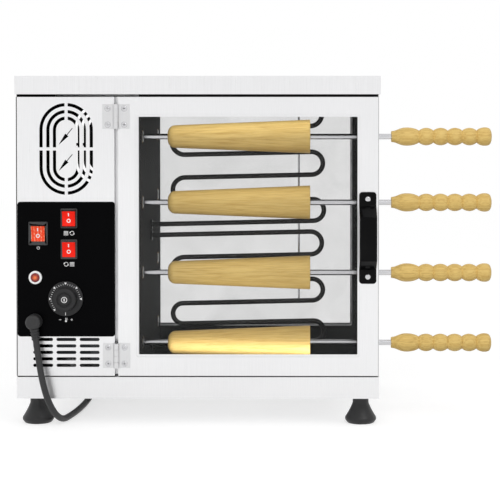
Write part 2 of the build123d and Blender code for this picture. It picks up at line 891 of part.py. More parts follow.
def chain_roller_places():
    """Evenly spaced points along the chain's path, in Y and Z."""
    straight = roll_heights[0] - roll_heights[-1]
    half_turn = math.pi * sprocket_pitch_radius
    count = round(2 * (straight + half_turn) / chain_roller_pitch)
    places = []
    for i in range(count):
        way = i * 2 * (straight + half_turn) / count
        side = 1
        if way >= straight + half_turn:
            way -= straight + half_turn
            side = -1
        middle = (roll_heights[0] + roll_heights[-1]) / 2
        if way < straight:
            places.append((side * sprocket_pitch_radius, middle + side * (way - straight / 2)))
        else:
            angle = (way - straight) / sprocket_pitch_radius
            y = side * sprocket_pitch_radius * math.cos(angle)
            z = side * (straight / 2 + sprocket_pitch_radius * math.sin(angle))
            places.append((y, middle + z))
    return places


def make_drive_chain(y):
    """Two side plates joined by rollers."""
    band = Pos(y, 0) * (chain_outline(chain_half_height) - chain_outline(-chain_half_height))
    low = left + chain_x - chain_width / 2
    high = low + chain_width
    plates = end_on(band, low, low + chain_plate) + end_on(band, high - chain_plate, high)
    rollers = [bar_x(chain_roller_radius, low + chain_plate / 2, high - chain_plate / 2, y + a, b)
               for a, b in chain_roller_places()]
    return plates.fuse(*rollers)


def make_gear_motor(y):
    """A gearbox on four standoffs, with the motor's can behind it."""
    z = roll_heights[-1]
    face = left + gearbox_front_x
    back = face - gearbox_length
    motor = block((back, face), (y - gearbox_width / 2, y + gearbox_width / 2),
                  (z - gearbox_height / 2, z + gearbox_height / 2))
    motor += bar_x(motor_radius, back - motor_length, back, y, z)
    for side_y in (-standoff_offset_y, standoff_offset_y):
        for side_z in (-standoff_offset_z, standoff_offset_z):
            motor += bar_x(standoff_radius, face, chamber_left - sheet, y + side_y, z + side_z)
    bore = spindle_stub_radius + running_play
    depth = left + spindle_back_x - spindle_drive_stub_length - running_play
    return motor - bar_x(bore, depth, face, y, z)


# Heating elements

def make_heating_element(which):
    """A tube that winds down the chamber, with a collar and a terminal at each end."""
    near, far = heater_reach()
    half = (far - near) / 2
    rises = heater_rises(which)
    tail = chamber_left - heater_tail
    x = heater_end(which, rises[0], tail)[0]
    edges = []
    for index, (rise, below) in enumerate(zip(rises, rises[1:])):
        side = 1 if index % 2 == 0 else -1
        bend = (rise - below) / 2
        start = side * (half - bend)
        edges.append(Line((x, rise), (start, rise)))
        edges.append(ThreePointArc((start, rise), (side * half, (rise + below) / 2), (start, below)))
        x = start
    edges.append(Line((x, rises[-1]), (heater_end(which, rises[-1], tail)[0], rises[-1])))
    path = heater_plane(which) * Wire(edges)
    tube = sweep(Plane(path @ 0, z_dir=path % 0) * Circle(heater_radius), path=path)
    for rise in (rises[0], rises[-1]):
        at_wall = heater_end(which, rise, chamber_left)[1]
        at_tail = heater_end(which, rise, tail)[1]
        collar_end = chamber_left + heater_collar_length
        tube += bar_x(heater_collar_radius, chamber_left, collar_end, 0, at_wall)
        tube += bar_x(terminal_radius, tail - terminal_length, tail, 0, at_tail)
    return tube


def make_heater_support_rod():
    """A thin rod that hangs from the ceiling behind both elements."""
    x = heater_reach()[1] - support_rod_inset
    y = heater_radius + support_rod_radius + support_rod_play
    bottom = heater_runs("lower")[support_rod_last_run] - support_rod_tail
    return bar_z(support_rod_radius, bottom, chamber_ceiling, x, y)


# Crumb tray and screws

def make_crumb_tray():
    """A shallow drawer whose right-hand end lies flush in the side panel."""
    start = left + tray_start_x
    base = chamber_floor + tray_play
    outside = block((start, chamber_right), (-tray_half_depth, tray_half_depth),
                    (base, base + tray_wall_height))
    inner_half = tray_half_depth - tray_wall
    inside = block((start + tray_wall, chamber_right), (-inner_half, inner_half),
                   (base + tray_wall, base + tray_wall_height))
    face = block((chamber_right, right), (-tray_half_depth, tray_half_depth),
                 (base, base + tray_front_height))
    finger = bar_x(tray_finger_radius, chamber_right, right, 0, base + tray_front_height)
    return outside - inside + (face - finger)


def make_cabinet_screws():
    """Dome heads on both side panels and on the lid."""
    heads = []
    for rise in left_screw_rises:
        for y in (-left_screw_y, left_screw_y):
            heads.append(make_screw_head(left, y, plinth_top + rise, -1))
    for y in (-right_screw_y, right_screw_y):
        for rise in right_screw_rises:
            heads.append(make_screw_head(right, y, plinth_top + rise, 1))
        heads.append(make_screw_head(right + lid_overhang, y, lid_bottom + lid_screw_rise, 1))
    return heads


def make_screw_head(face_x, y, z, side):
    """One dome head, seated on a face that looks left (-1) or right (1)."""
    tip = face_x + side * screw_head_height
    head = bar_x(screw_head_radius, min(face_x, tip), max(face_x, tip), y, z)
    rim = head.edges().sort_by(Axis.X)[0 if side < 0 else -1]
    return fillet(rim, screw_head_height * 0.7)


# Mains lead

def cord_route():
    """Hand-placed points of the lead: down from the gland, then in under the plinth."""
    mouth, way = gland_exit()
    below = mouth + way * cord_first_run
    return [
        (mouth.X, mouth.Y, mouth.Z),
        (below.X, below.Y, below.Z),
        (left + 41.5, front - 22.5, 82.5),
        (left + 49.0, front - 23.0, 51.4),
        (left + 58.0, front - 6.0, 22.0),
        (left + 67.0, front + 23.4, cord_radius),
        (left + 75.0, front + 65.0, cord_radius),
        (left + 81.0, front + 122.0, cord_radius),
        (left + 83.5, front + 190.0, cord_radius),
        (left + 82.0, front + 250.0, cord_radius),
        (left + 82.0, coil_centre_y - coil_lead_in, cord_radius),
    ]


def corner_radii(points):
    """The largest radius that each corner's two runs allow."""
    radii = []
    for before, corner, after in zip(points, points[1:], points[2:]):
        first = Vector(*corner) - Vector(*before)
        second = Vector(*after) - Vector(*corner)
        turn = math.radians(first.get_angle(second))
        radii.append(0.45 * min(first.length, second.length) / math.tan(turn / 2))
    return radii


def cord_path():
    points = cord_route()
    return FilletPolyline(*points, radius=corner_radii(points))


# How many steps inwards the coil lies at the end of each half turn: down on the floor,
# then back out on top of itself. The upper turns at the far side lie between the lower ones.
coil_reaches = (0, 0, 1, 1, 2, 2, 2, 1, 1)
coil_climb = 4
coil_shifted = (6, 8)


def coil_insets():
    """How far inside the outermost turn the coil lies at the end of each half turn."""
    step = 2 * cord_radius + coil_gap
    insets = [reach * step for reach in coil_reaches]
    for index in coil_shifted:
        insets[index] -= coil_shift
    return insets


def coil_turn_ends():
    """The coil's place along X and its height at the end of each half turn."""
    insets = coil_insets()
    halves = len(insets) - 1
    free = cord_length - cord_path().length - coil_lead_in - coil_lead_out
    outer = (free / math.pi + sum(insets) - (insets[0] + insets[-1]) / 2) / halves
    centre = cord_route()[-1][0] + outer
    ends = []
    for index, inset in enumerate(insets):
        side = -1 if index % 2 == 0 else 1
        lift = 2 * cord_radius + coil_gap if index > coil_climb else 0
        ends.append((centre + side * (outer - inset), cord_radius + lift))
    return ends


def coil_half_turn(start, stop, way):
    """Half a turn towards the rear (1) or the front (-1); where it climbs, two arcs that meet."""
    radius = abs(stop[0] - start[0]) / 2
    rise = (stop[1] - start[1]) / 2
    low = (start[0], coil_centre_y, start[1])
    high = (stop[0], coil_centre_y, stop[1])
    top = ((start[0] + stop[0]) / 2, coil_centre_y + way * math.hypot(radius, rise), start[1] + rise)
    if rise == 0:
        return [ThreePointArc(low, top, high)]
    first = TangentArc(low, top, tangent=(0, way, 0))
    return [first, TangentArc(top, high, tangent=first % 1)]


def coil_path():
    """The coil's centreline: it spirals in, climbs on itself in a half turn and spirals out."""
    ends = coil_turn_ends()
    edges = [Line(cord_route()[-1], (ends[0][0], coil_centre_y, ends[0][1]))]
    for index, (start, stop) in enumerate(zip(ends, ends[1:])):
        edges += coil_half_turn(start, stop, 1 if index % 2 == 0 else -1)
    x, z = ends[-1]
    edges.append(Line((x, coil_centre_y, z), (x, coil_centre_y + coil_lead_out, z)))
    return Wire(edges)


def make_cord(path):
    return sweep(Plane(path @ 0, z_dir=path % 0) * Circle(cord_radius), path=path)


def make_mains_plug(path):
    """A moulded plug lying on the floor beside the coil, with its tapered relief."""
    mouth = path @ 1
    start = Plane(mouth, x_dir=(1, 0, 0), z_dir=(0, 1, 0))
    body = start.offset(plug_relief_length)
    relief = loft([start * Circle(cord_radius), body * Circle(plug_relief_tip_radius)])
    height = 2 * mouth.Z
    plug = extrude(body * RectangleRounded(plug_width, height, plug_corner), plug_length)
    plug = chamfer(plug.edges().group_by(Axis.Y)[0], 3.0)
    face_y = mouth.Y + plug_relief_length + plug_length
    for side in (-plug_pin_spacing / 2, plug_pin_spacing / 2):
        plug += bar_y(plug_pin_radius, face_y - 1, face_y + plug_pin_length, mouth.X + side, mouth.Z)
    return relief + plug


def least_self_gap(path, samples=600):
    """The least space between stretches of the coil that aren't next to each other."""
    points = [path @ (i / samples) for i in range(samples + 1)]
    apart = math.ceil(6 * cord_radius / (path.length / samples))
    gaps = []
    for i, point in enumerate(points):
        gaps += [(point - other).length for other in points[i + apart:]]
    return min(gaps) - 2 * cord_radius


# Everything in its place

os.makedirs("parts", exist_ok=True)

save("base_plinth", make_base_plinth())
save("top_cover", make_top_cover())
save("left_side_panel", make_left_side_panel())
save("right_side_panel", make_right_side_panel())
save("front_control_panel", make_front_control_panel())
save("rear_service_panel", make_rear_service_panel())
save("cavity_liner", make_cavity_liner())
save("adjustable_feet", *[make_foot(x, y) for x, y in foot_places()])
save("cabinet_screws", *make_cabinet_screws())

fixed_leaves = make_hinges(-1)
door_leaves = make_hinges(1)
save("hinge_fixed_leaves", *fixed_leaves, *[at_rear(leaf) for leaf in fixed_leaves])
save("front_door_hinge_leaves", *door_leaves)
save("rear_door_hinge_leaves", *[at_rear(leaf) for leaf in door_leaves])
frame_solids = door_solids()
save("front_door_frame", *frame_solids)
save("rear_door_frame", *[at_rear(solid) for solid in frame_solids])
save("front_door_glass", make_door_glass())
save("rear_door_glass", at_rear(make_door_glass()))
save("front_door_handle", make_door_handle())
save("rear_door_handle", at_rear(make_door_handle()))

save("control_plate", make_control_plate())
save("power_switch_housing", make_switch_housing("power"))
save("rotation_switch_housings", make_switch_housing("left"), make_switch_housing("right"))
save("power_rocker", make_rocker("power"))
save("left_rotation_rocker", make_rocker("left"))
save("right_rotation_rocker", make_rocker("right"))
save("pilot_lamp_bezel", make_pilot_lamp_bezel())
save("pilot_lamp_lens", make_pilot_lamp_lens())
save("thermostat_body", make_thermostat_body())
save("thermostat_knob", make_thermostat_knob())
save("cable_gland", make_cable_gland(), make_gland_nut())

save("upper_heating_element", make_heating_element("upper"))
save("lower_heating_element", make_heating_element("lower"))
save("heater_support_rod", make_heater_support_rod())
save("crumb_tray", make_crumb_tray())

save("gear_motors", make_gear_motor(roll_y), make_gear_motor(-roll_y))
save("drive_chains", make_drive_chain(roll_y), make_drive_chain(-roll_y))
save("spindle_bushes", *[make_bush(y, z) for y in (roll_y, -roll_y) for z in roll_heights])
for number, height in enumerate(roll_heights, 1):
    is_driven = number == len(roll_heights)
    stub = spindle_drive_stub_length if is_driven else spindle_stub_length
    save(f"front_spindle_{number}", make_spindle(roll_y, height, stub))
    save(f"rear_spindle_{number}", make_spindle(-roll_y, height, stub))
    save(f"baking_roll_{number}", make_roll(roll_y, height))
    save(f"roll_rod_{number}", make_roll_rod(roll_y, height))
    save(f"roll_grip_{number}", make_roll_grip(roll_y, height))

run_path = cord_path()
coil = coil_path()
save("power_cord_run", make_cord(run_path))
save("power_cord_coil", make_cord(coil))
save("mains_plug", make_mains_plug(coil))


print("cord corner radii", [round(radius, 1) for radius in corner_radii(cord_route())])
print("cord run length", round(run_path.length, 1), "coil length", round(coil.length, 1))
print("coil least gap to itself", round(least_self_gap(coil), 2))
section = math.pi * cord_radius ** 2
for name, path in (("run", run_path), ("coil", coil)):
    ratio = make_cord(path).volume / section / path.length
    print(name, "volume over section times length", round(ratio, 4))
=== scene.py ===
"""Chimney cake grill: its looks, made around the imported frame."""

import json
import math
from contextlib import contextmanager

import bmesh
import bpy
from bpy.props import FloatProperty, FloatVectorProperty, IntProperty, PointerProperty
from mathutils import Matrix, Vector
from mathutils.geometry import interpolate_bezier


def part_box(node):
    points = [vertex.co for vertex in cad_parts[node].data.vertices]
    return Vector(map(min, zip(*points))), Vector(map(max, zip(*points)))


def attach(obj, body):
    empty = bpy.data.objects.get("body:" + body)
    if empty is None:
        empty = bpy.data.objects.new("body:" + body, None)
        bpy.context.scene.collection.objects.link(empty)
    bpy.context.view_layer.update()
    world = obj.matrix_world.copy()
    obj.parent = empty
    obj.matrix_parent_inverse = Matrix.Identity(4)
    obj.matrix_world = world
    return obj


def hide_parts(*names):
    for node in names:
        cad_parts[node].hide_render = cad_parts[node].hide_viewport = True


bl_info = {
    "name": "Chimney cake grill",
    "version": (1, 0, 0),
    "blender": (4, 5, 0),
    "location": "3D View > Sidebar > Grill",
    "description": "Dresses the chimney cake grill: sheet metal, wood, switches, lead and studio",
    "category": "Object",
}

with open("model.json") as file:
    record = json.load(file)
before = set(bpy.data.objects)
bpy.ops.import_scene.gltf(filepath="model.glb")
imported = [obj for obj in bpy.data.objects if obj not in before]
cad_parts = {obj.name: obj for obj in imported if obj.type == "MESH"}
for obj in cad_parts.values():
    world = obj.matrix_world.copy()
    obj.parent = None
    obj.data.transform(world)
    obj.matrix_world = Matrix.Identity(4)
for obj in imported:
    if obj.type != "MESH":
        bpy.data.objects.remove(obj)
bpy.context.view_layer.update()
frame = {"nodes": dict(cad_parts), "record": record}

# Sizes are in millimetres, apart from those of the stage and of the lead's route and turns,
# which are in metres
MM = 0.001

# Places that everything else is measured from, all taken from the frame

def low(node):
    """The lowest corner of a node's box, in millimetres."""
    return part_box(node)[0] / MM


def high(node):
    """The highest corner of a node's box, in millimetres."""
    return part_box(node)[1] / MM


def middle(node):
    """The middle of a node's box, in millimetres."""
    return (low(node) + high(node)) / 2


left = low("base_plinth").x
right = high("base_plinth").x
front = low("base_plinth").y
rear = -front
centre_x = (left + right) / 2
half_width = (right - left) / 2
plate_front = low("control_plate").y
roll_count = sum(node.startswith("baking_roll_") for node in frame["nodes"])


def linear(red, green, blue):
    """A colour given as the screen shows it, 0 to 255, in the linear values that shaders take."""
    def channel(value):
        share = value / 255
        return share / 12.92 if share <= 0.04045 else ((share + 0.055) / 1.055) ** 2.4
    return (channel(red), channel(green), channel(blue), 1.0)


# Sizes and colours that a user would change

class GrillStudio(bpy.types.PropertyGroup):
    """Camera, light and floor."""
    eye: FloatVectorProperty(
        name="Eye", description="Place of the camera", subtype="TRANSLATION", unit="LENGTH",
        default=(0.0725, -2.610, 0.4827))
    pitch: FloatProperty(
        name="Pitch", description="How far the camera looks down", subtype="ANGLE",
        default=math.radians(1.2))
    yaw: FloatProperty(
        name="Yaw", description="How far the camera looks to the left", subtype="ANGLE",
        default=math.radians(0.3))
    lens: FloatProperty(name="Lens", description="Focal length in millimetres", default=112.8)
    shift: FloatVectorProperty(
        name="Shift", description="Sideways and upright shift of the lens", size=2,
        default=(-0.0882, -0.2043))
    key_power: FloatProperty(
        name="Key light", description="Power of the large light in front",
        unit="POWER", default=30.0)
    fill_power: FloatProperty(
        name="Fill light", description="Power of the light above at the right",
        unit="POWER", default=12.0)
    chamber_power: FloatProperty(
        name="Chamber light", description="Power of the strips behind the front door's rails",
        unit="POWER", default=0.13)
    sky: FloatProperty(
        name="Sky", description="Brightness of the surroundings on matt surfaces", default=0.74)
    floor_glow: FloatProperty(
        name="Floor glow", description="How far the floor is lit of itself to the eye", default=0.62)


class GrillColours(bpy.types.PropertyGroup):
    """Base colours of the finishes."""
    steel: FloatVectorProperty(
        name="Steel", description="Stainless sheet outside", subtype="COLOR", size=4,
        default=linear(236, 236, 237))
    # Painted shade: this dark colour stands in for the shade of the unlit chamber and of the inner faces
    # of the sheet
    painted_shade_steel: FloatVectorProperty(
        name="Painted shade steel", description="Chamber walls that face the heaters", subtype="COLOR",
        size=4, default=linear(36, 35, 35))
    wood: FloatVectorProperty(
        name="Wood", description="Pale beech of the rolls", subtype="COLOR", size=4,
        default=linear(226, 194, 118))
    rubber: FloatVectorProperty(
        name="Rubber", description="Feet", subtype="COLOR", size=4,
        default=linear(22, 22, 23))
    rocker_red: FloatVectorProperty(
        name="Red rocker", description="Rockers of the rotation switches", subtype="COLOR", size=4,
        default=linear(250, 30, 10))


class GrillSizes(bpy.types.PropertyGroup):
    """Sizes of what only the looks add, in millimetres, and the lead's in metres."""
    cord_radius: FloatProperty(
        name="Lead radius", description="Half the thickness of the mains lead", unit="LENGTH",
        default=0.005)
    cord_length: FloatProperty(
        name="Lead length", description="From the gland to the plug", unit="LENGTH",
        default=1.8)
    rounds: IntProperty(
        name="Rounds", description="Sides of a turned piece", default=72)
    print_height: FloatProperty(
        name="Print height", description="How far printed marks stand proud", default=0.12)
    edge_round: FloatProperty(
        name="Edge round", description="Rounding of moulded edges", default=0.6)


def studio():
    return bpy.context.scene.grill_studio


def colours():
    return bpy.context.scene.grill_colours


def sizes():
    return bpy.context.scene.grill_sizes


# Materials

class Finish:
    """One material, built up from nodes on the object's own coordinates."""

    def __init__(self, name, colour, roughness, metallic=0.0, **sockets):
        self.material = bpy.data.materials.new(name)
        self.material.use_nodes = True
        self.tree = self.material.node_tree
        self.shader = self.tree.nodes["Principled BSDF"]
        self.shader.inputs["Base Color"].default_value = colour
        self.shader.inputs["Roughness"].default_value = roughness
        self.shader.inputs["Metallic"].default_value = metallic
        for socket, value in sockets.items():
            self.shader.inputs[socket.replace("_", " ")].default_value = value
        self.place = self.tree.nodes.new("ShaderNodeTexCoord").outputs["Object"]

    def put(self, node, socket, value):
        """Give a node's input a value, or a link if the value is another node's output."""
        if isinstance(value, bpy.types.NodeSocket):
            self.tree.links.new(value, node.inputs[socket])
        else:
            node.inputs[socket].default_value = value

    def math(self, operation, *values):
        node = self.tree.nodes.new("ShaderNodeMath")
        node.operation = operation
        for socket, value in enumerate(values):
            self.put(node, socket, value)
        return node.outputs[0]

    def axis(self, name):
        """One of the object's own coordinates, in metres."""
        node = self.tree.nodes.new("ShaderNodeSeparateXYZ")
        self.put(node, 0, self.place)
        return node.outputs[name]

    def noise(self, scale, stretch=(1, 1, 1), detail=3.0, roughness=0.5, distortion=0.0):
        """Cloudy values with so many features a metre, drawn out along the axes by stretch."""
        mapping = self.tree.nodes.new("ShaderNodeMapping")
        mapping.inputs["Scale"].default_value = stretch
        self.put(mapping, "Vector", self.place)
        node = self.tree.nodes.new("ShaderNodeTexNoise")
        node.inputs["Scale"].default_value = scale
        node.inputs["Detail"].default_value = detail
        node.inputs["Roughness"].default_value = roughness
        node.inputs["Distortion"].default_value = distortion
        self.put(node, "Vector", mapping.outputs[0])
        return node.outputs["Fac"]

    def span(self, value, first, last, to_first=0.0, to_last=1.0):
        """A value moved from one range to another, and held at its ends."""
        node = self.tree.nodes.new("ShaderNodeMapRange")
        for socket, number in enumerate((value, first, last, to_first, to_last)):
            self.put(node, socket, number)
        return node.outputs[0]

    def spread(self, noise, to_first, to_last):
        """Noise, which mostly lies between 0.3 and 0.7, drawn out over a range."""
        return self.span(noise, 0.3, 0.7, to_first, to_last)

    def blend(self, factor, first, second):
        """Two colours mixed by a factor."""
        node = self.tree.nodes.new("ShaderNodeMix")
        node.data_type = "RGBA"
        self.put(node, "Factor", factor)
        self.put(node, 6, first)
        self.put(node, 7, second)
        return node.outputs[2]

    def colour(self, value):
        self.put(self.shader, "Base Color", value)

    def rough(self, noise, least, most):
        """Roughness that follows noise between two values."""
        self.put(self.shader, "Roughness", self.spread(noise, least, most))

    def beyond(self, coordinate, edge, softness=0.2):
        """0 before an edge and 1 past it, with the edge in millimetres."""
        return self.span(coordinate, (edge - softness) * MM, (edge + softness) * MM)

    def from_middle(self, axis, centre=0.0):
        """Distance along one axis from a middle in millimetres."""
        return self.math("ABSOLUTE", self.math("SUBTRACT", self.axis(axis), centre * MM))

    def bump(self, height, depth):
        """Small relief, with its depth in metres."""
        node = self.tree.nodes.new("ShaderNodeBump")
        node.inputs["Distance"].default_value = depth
        node.inputs["Strength"].default_value = 1.0
        self.put(node, "Height", height)
        self.put(self.shader, "Normal", node.outputs[0])


def tinted(colour, factor):
    """The same colour, lighter or darker."""
    return tuple(min(1.0, channel * factor) for channel in colour[:3]) + (1.0,)


def brushed_sheet(name, shade=1.0):
    """Stainless sheet, brushed upright, with a faint cloudy tone."""
    colour = tinted(colours().steel, shade)
    finish = Finish(name, colour, 0.32, metallic=1.0)
    lines = finish.noise(900, (1.0, 1.0, 0.02), detail=4, roughness=0.65)
    cloud = finish.noise(5, detail=2)
    grain = finish.spread(lines, 0.0, 0.6)
    tone = finish.math("ADD", grain, finish.spread(cloud, 0.0, 0.4))
    finish.colour(finish.blend(tone, tinted(colour, 0.93), tinted(colour, 1.03)))
    finish.rough(lines, 0.27, 0.39)
    finish.bump(lines, 0.004 * MM)
    return finish


# How deep the bright skin of a sheet goes before the painted shade inside, and how far in the painted
# shadow lines at its seams lie, in millimetres
side_skin = 1.1
panel_skin = 0.5
tray_skin = 1.3
door_pan_depth = 17.0
panel_seam_shadow = 1.4
door_seam_shadow = (0.85, 1.8)
flange_reach = 8.0

# How grey the painted shadow at the door's seam is, how dark the painted shade on the sheet at the
# sides is, and how far each pane dims
door_shadow_tone = 0.5
side_shade = 0.84
front_glass_dimming = 0.06
# The rear pane dims more than the front one: painted shade on what shows through the window
rear_glass_dimming = 0.14


def paint_inner_shade(finish, bright_part):
    """Leave sheet bright where a factor says so, and paint shade elsewhere: dull and dark, as the unlit
    inside and the gaps look.
    """
    bright = finish.shader.inputs["Base Color"].links[0].from_socket
    finish.shader.inputs["Specular IOR Level"].default_value = 0.0
    finish.put(finish.shader, "Metallic", bright_part)
    finish.colour(finish.blend(bright_part, colours().painted_shade_steel, bright))
    return finish.material


def outer_steel():
    """Cabinet sheet, bright on every side."""
    return brushed_sheet("outer_steel").material


def hinge_steel():
    """Hinge leaves, a little darker than the sheet that they are on."""
    return brushed_sheet("hinge_steel", side_shade).material


def wall_steel():
    """Side panels: darker all over as painted shade on the sides; only the outer skin is bright, inside
    is painted shade.
    """
    finish = brushed_sheet("wall_steel", side_shade)
    return paint_inner_shade(finish, finish.beyond(finish.from_middle("X", centre_x), half_width - side_skin))


def panel_steel():
    """Front and rear panels: painted shade inside, with a painted shadow line along the cabinet's corner
    seam.
    """
    finish = brushed_sheet("panel_steel")
    skin = finish.beyond(finish.from_middle("Y"), rear - panel_skin)
    flange = finish.beyond(finish.axis("X"), low("front_door_frame").x - flange_reach)
    seam_shadow = finish.beyond(finish.from_middle("X", centre_x), half_width - panel_seam_shadow)
    return paint_inner_shade(finish, finish.math("SUBTRACT", finish.math("MAXIMUM", skin, flange), seam_shadow))


def door_steel():
    """Door pans: bright outside and on the rim, painted shade on the backing ring, grey painted shadow
    at the free edge.
    """
    finish = brushed_sheet("door_steel")
    pan = finish.beyond(finish.from_middle("Y"), rear - door_pan_depth)
    from_middle = finish.from_middle("X", centre_x)
    side, edge = (finish.beyond(from_middle, half_width - inset) for inset in door_seam_shadow)
    gap_shadow = finish.math("MULTIPLY", finish.math("SUBTRACT", edge, side), door_shadow_tone)
    return paint_inner_shade(finish, finish.math("SUBTRACT", pan, gap_shadow))


def tray_steel():
    """Crumb tray: painted shade inside the chamber, bright on the front that shows in the right wall."""
    finish = brushed_sheet("tray_steel")
    return paint_inner_shade(finish, finish.beyond(finish.axis("X"), right - tray_skin))


def special_finishes():
    """Materials for nodes that need more than their slot's."""
    wall, panel, door, hinge = wall_steel(), panel_steel(), door_steel(), hinge_steel()
    return {
        "left_side_panel": wall,
        "right_side_panel": wall,
        "front_control_panel": panel,
        "rear_service_panel": panel,
        "front_door_frame": door,
        "rear_door_frame": door,
        "hinge_fixed_leaves": hinge,
        "front_door_hinge_leaves": hinge,
        "rear_door_hinge_leaves": hinge,
        "crumb_tray": tray_steel(),
        "rear_door_glass": window_glass("rear_glass", rear_glass_dimming),
    }


def painted_shade_steel():
    """Chamber lining: dark and dull as painted shade of the unlit chamber, a little browner and streaky
    in patches.
    """
    colour = colours().painted_shade_steel
    finish = Finish("painted_shade_steel", colour, 0.7, Specular_IOR_Level=0.02)
    streaks = finish.noise(60, (1.0, 1.0, 0.25), detail=5)
    stains = finish.noise(14, detail=4, distortion=1.2)
    tone = finish.blend(streaks, tinted(colour, 0.6), tinted(colour, 1.5))
    finish.colour(finish.blend(finish.span(stains, 0.5, 0.75, 0.0, 0.6), tone, linear(50, 45, 41)))
    finish.rough(streaks, 0.6, 0.8)
    finish.bump(finish.noise(400, detail=2), 0.01 * MM)
    return finish.material


def bare_metal(name, dark, light, rough, relief=None, **grain):
    """Metal with one grain, which takes it from dark to light and from smooth to rough."""
    finish = Finish(name, light, rough[0], metallic=1.0)
    lines = finish.noise(**grain)
    finish.colour(finish.blend(lines, dark, light))
    finish.rough(lines, *rough)
    if relief:
        finish.bump(lines, relief * MM)
    return finish.material


def polished_steel():
    """Bright drawn rod and small fittings."""
    return bare_metal("polished_steel", linear(186, 186, 189), linear(220, 220, 222), (0.12, 0.24),
                      relief=0.002, scale=700, stretch=(0.03, 1.0, 1.0), detail=2)


def machined_steel():
    """Steel of the drive and the thermostat, duller than the rods."""
    return bare_metal("machined_steel", linear(120, 120, 122), linear(170, 170, 171), (0.25, 0.42),
                      scale=900, stretch=(0.2, 1.0, 1.0), detail=3)


def bearing_bronze():
    """Bronze of the spindles' bushes."""
    return bare_metal("bearing_bronze", linear(150, 110, 60), linear(198, 158, 98), (0.28, 0.5),
                      scale=120)


def heater_sheath():
    """Black oxidised tube, a little lighter where it has been hottest."""
    finish = Finish("heater_sheath", linear(22, 22, 23), 0.38, Specular_IOR_Level=0.4)
    oxide = finish.noise(90, detail=4)
    finish.colour(finish.blend(oxide, linear(14, 14, 15), linear(34, 33, 32)))
    finish.rough(oxide, 0.3, 0.5)
    finish.bump(finish.noise(1500, detail=1), 0.01 * MM)
    return finish.material


def moulded(name, colour, roughness=0.4, texture=0.012, **sockets):
    """Moulded plastic or rubber with a fine eroded skin."""
    finish = Finish(name, colour, roughness, **sockets)
    skin = finish.noise(2200, detail=2)
    cloud = finish.noise(45, detail=3)
    finish.colour(finish.blend(cloud, tinted(colour, 0.85), tinted(colour, 1.2)))
    finish.rough(skin, roughness - 0.06, roughness + 0.08)
    finish.bump(skin, texture * MM)
    return finish.material


def lit_rocker():
    """Clear orange rocker with a lamp inside; the lamp's light is painted into the colour as three
    columns of pale streaks.
    """
    centre = middle("power_switch_housing")
    column_pitch = 5.2 * MM
    finish = Finish("lit_rocker", linear(246, 70, 26), 0.25, Specular_IOR_Level=0.25)
    from_centre = finish.math("SUBTRACT", finish.axis("X"), centre.x * MM)
    across = finish.math("DIVIDE", from_centre, column_pitch)
    from_column = finish.math("ABSOLUTE", finish.math("SUBTRACT", across, finish.math("ROUND", across)))
    column = finish.span(from_column, 0.14, 0.3, 1.0, 0.0)
    flecks = finish.span(finish.noise(520, (0.8, 1.0, 0.55), detail=2), 0.42, 0.6)
    streak = finish.math("MULTIPLY", finish.math("MULTIPLY", column, flecks), 0.75)
    finish.colour(finish.blend(streak, linear(238, 66, 28), linear(255, 178, 140)))
    return finish.material


def lamp_lens():
    """Dark red lens with the lamp's glow painted as a bright orange spot in its middle."""
    centre = middle("pilot_lamp_lens")
    finish = Finish("lamp_lens", linear(150, 20, 8), 0.1, Coat_Weight=0.25, Coat_Roughness=0.04)
    side = finish.math("SUBTRACT", finish.axis("X"), centre.x * MM)
    up = finish.math("SUBTRACT", finish.axis("Z"), centre.z * MM)
    reach = finish.math("SQRT", finish.math("ADD", finish.math("POWER", side, 2.0),
                                            finish.math("POWER", up, 2.0)))
    jagged = finish.math("ADD", reach, finish.spread(finish.noise(900), 0, 1.2 * MM))
    spot = finish.span(jagged, 1.0 * MM, 5.2 * MM, 1.0, 0.0)
    finish.colour(finish.blend(spot, linear(128, 14, 6), linear(255, 120, 40)))
    return finish.material


def beech():
    """Pale beech with fine grain that runs along the piece."""
    colour = colours().wood
    finish = Finish("beech_wood", colour, 0.5, Specular_IOR_Level=0.3)
    bands = finish.noise(38, (0.10, 1.0, 1.0), detail=4, distortion=0.7)
    fibre = finish.noise(420, (0.035, 1.0, 1.0), detail=5, roughness=0.65)
    flecks = finish.noise(700, (0.09, 1.0, 1.0), detail=1)
    base = finish.blend(bands, tinted(colour, 0.88), tinted(colour, 1.12))
    lined = finish.blend(finish.span(fibre, 0.42, 0.72), base, linear(196, 158, 84))
    fleck = finish.span(flecks, 0.66, 0.74, 0.0, 0.3)
    finish.colour(finish.blend(fleck, lined, linear(164, 124, 62)))
    finish.rough(fibre, 0.42, 0.6)
    finish.bump(fibre, 0.05 * MM)
    return finish.material


def window_glass(name, dimming):
    """Thin pane that dims what is behind it by a share, a little more where it is smeared."""
    finish = Finish(name, linear(96, 98, 98), 0.05, IOR=1.5, Alpha=dimming)
    smears = finish.noise(9, detail=4, distortion=1.0)
    finish.put(finish.shader, "Alpha", finish.span(smears, 0.35, 0.7, dimming * 0.8, dimming * 1.2))
    return finish.material


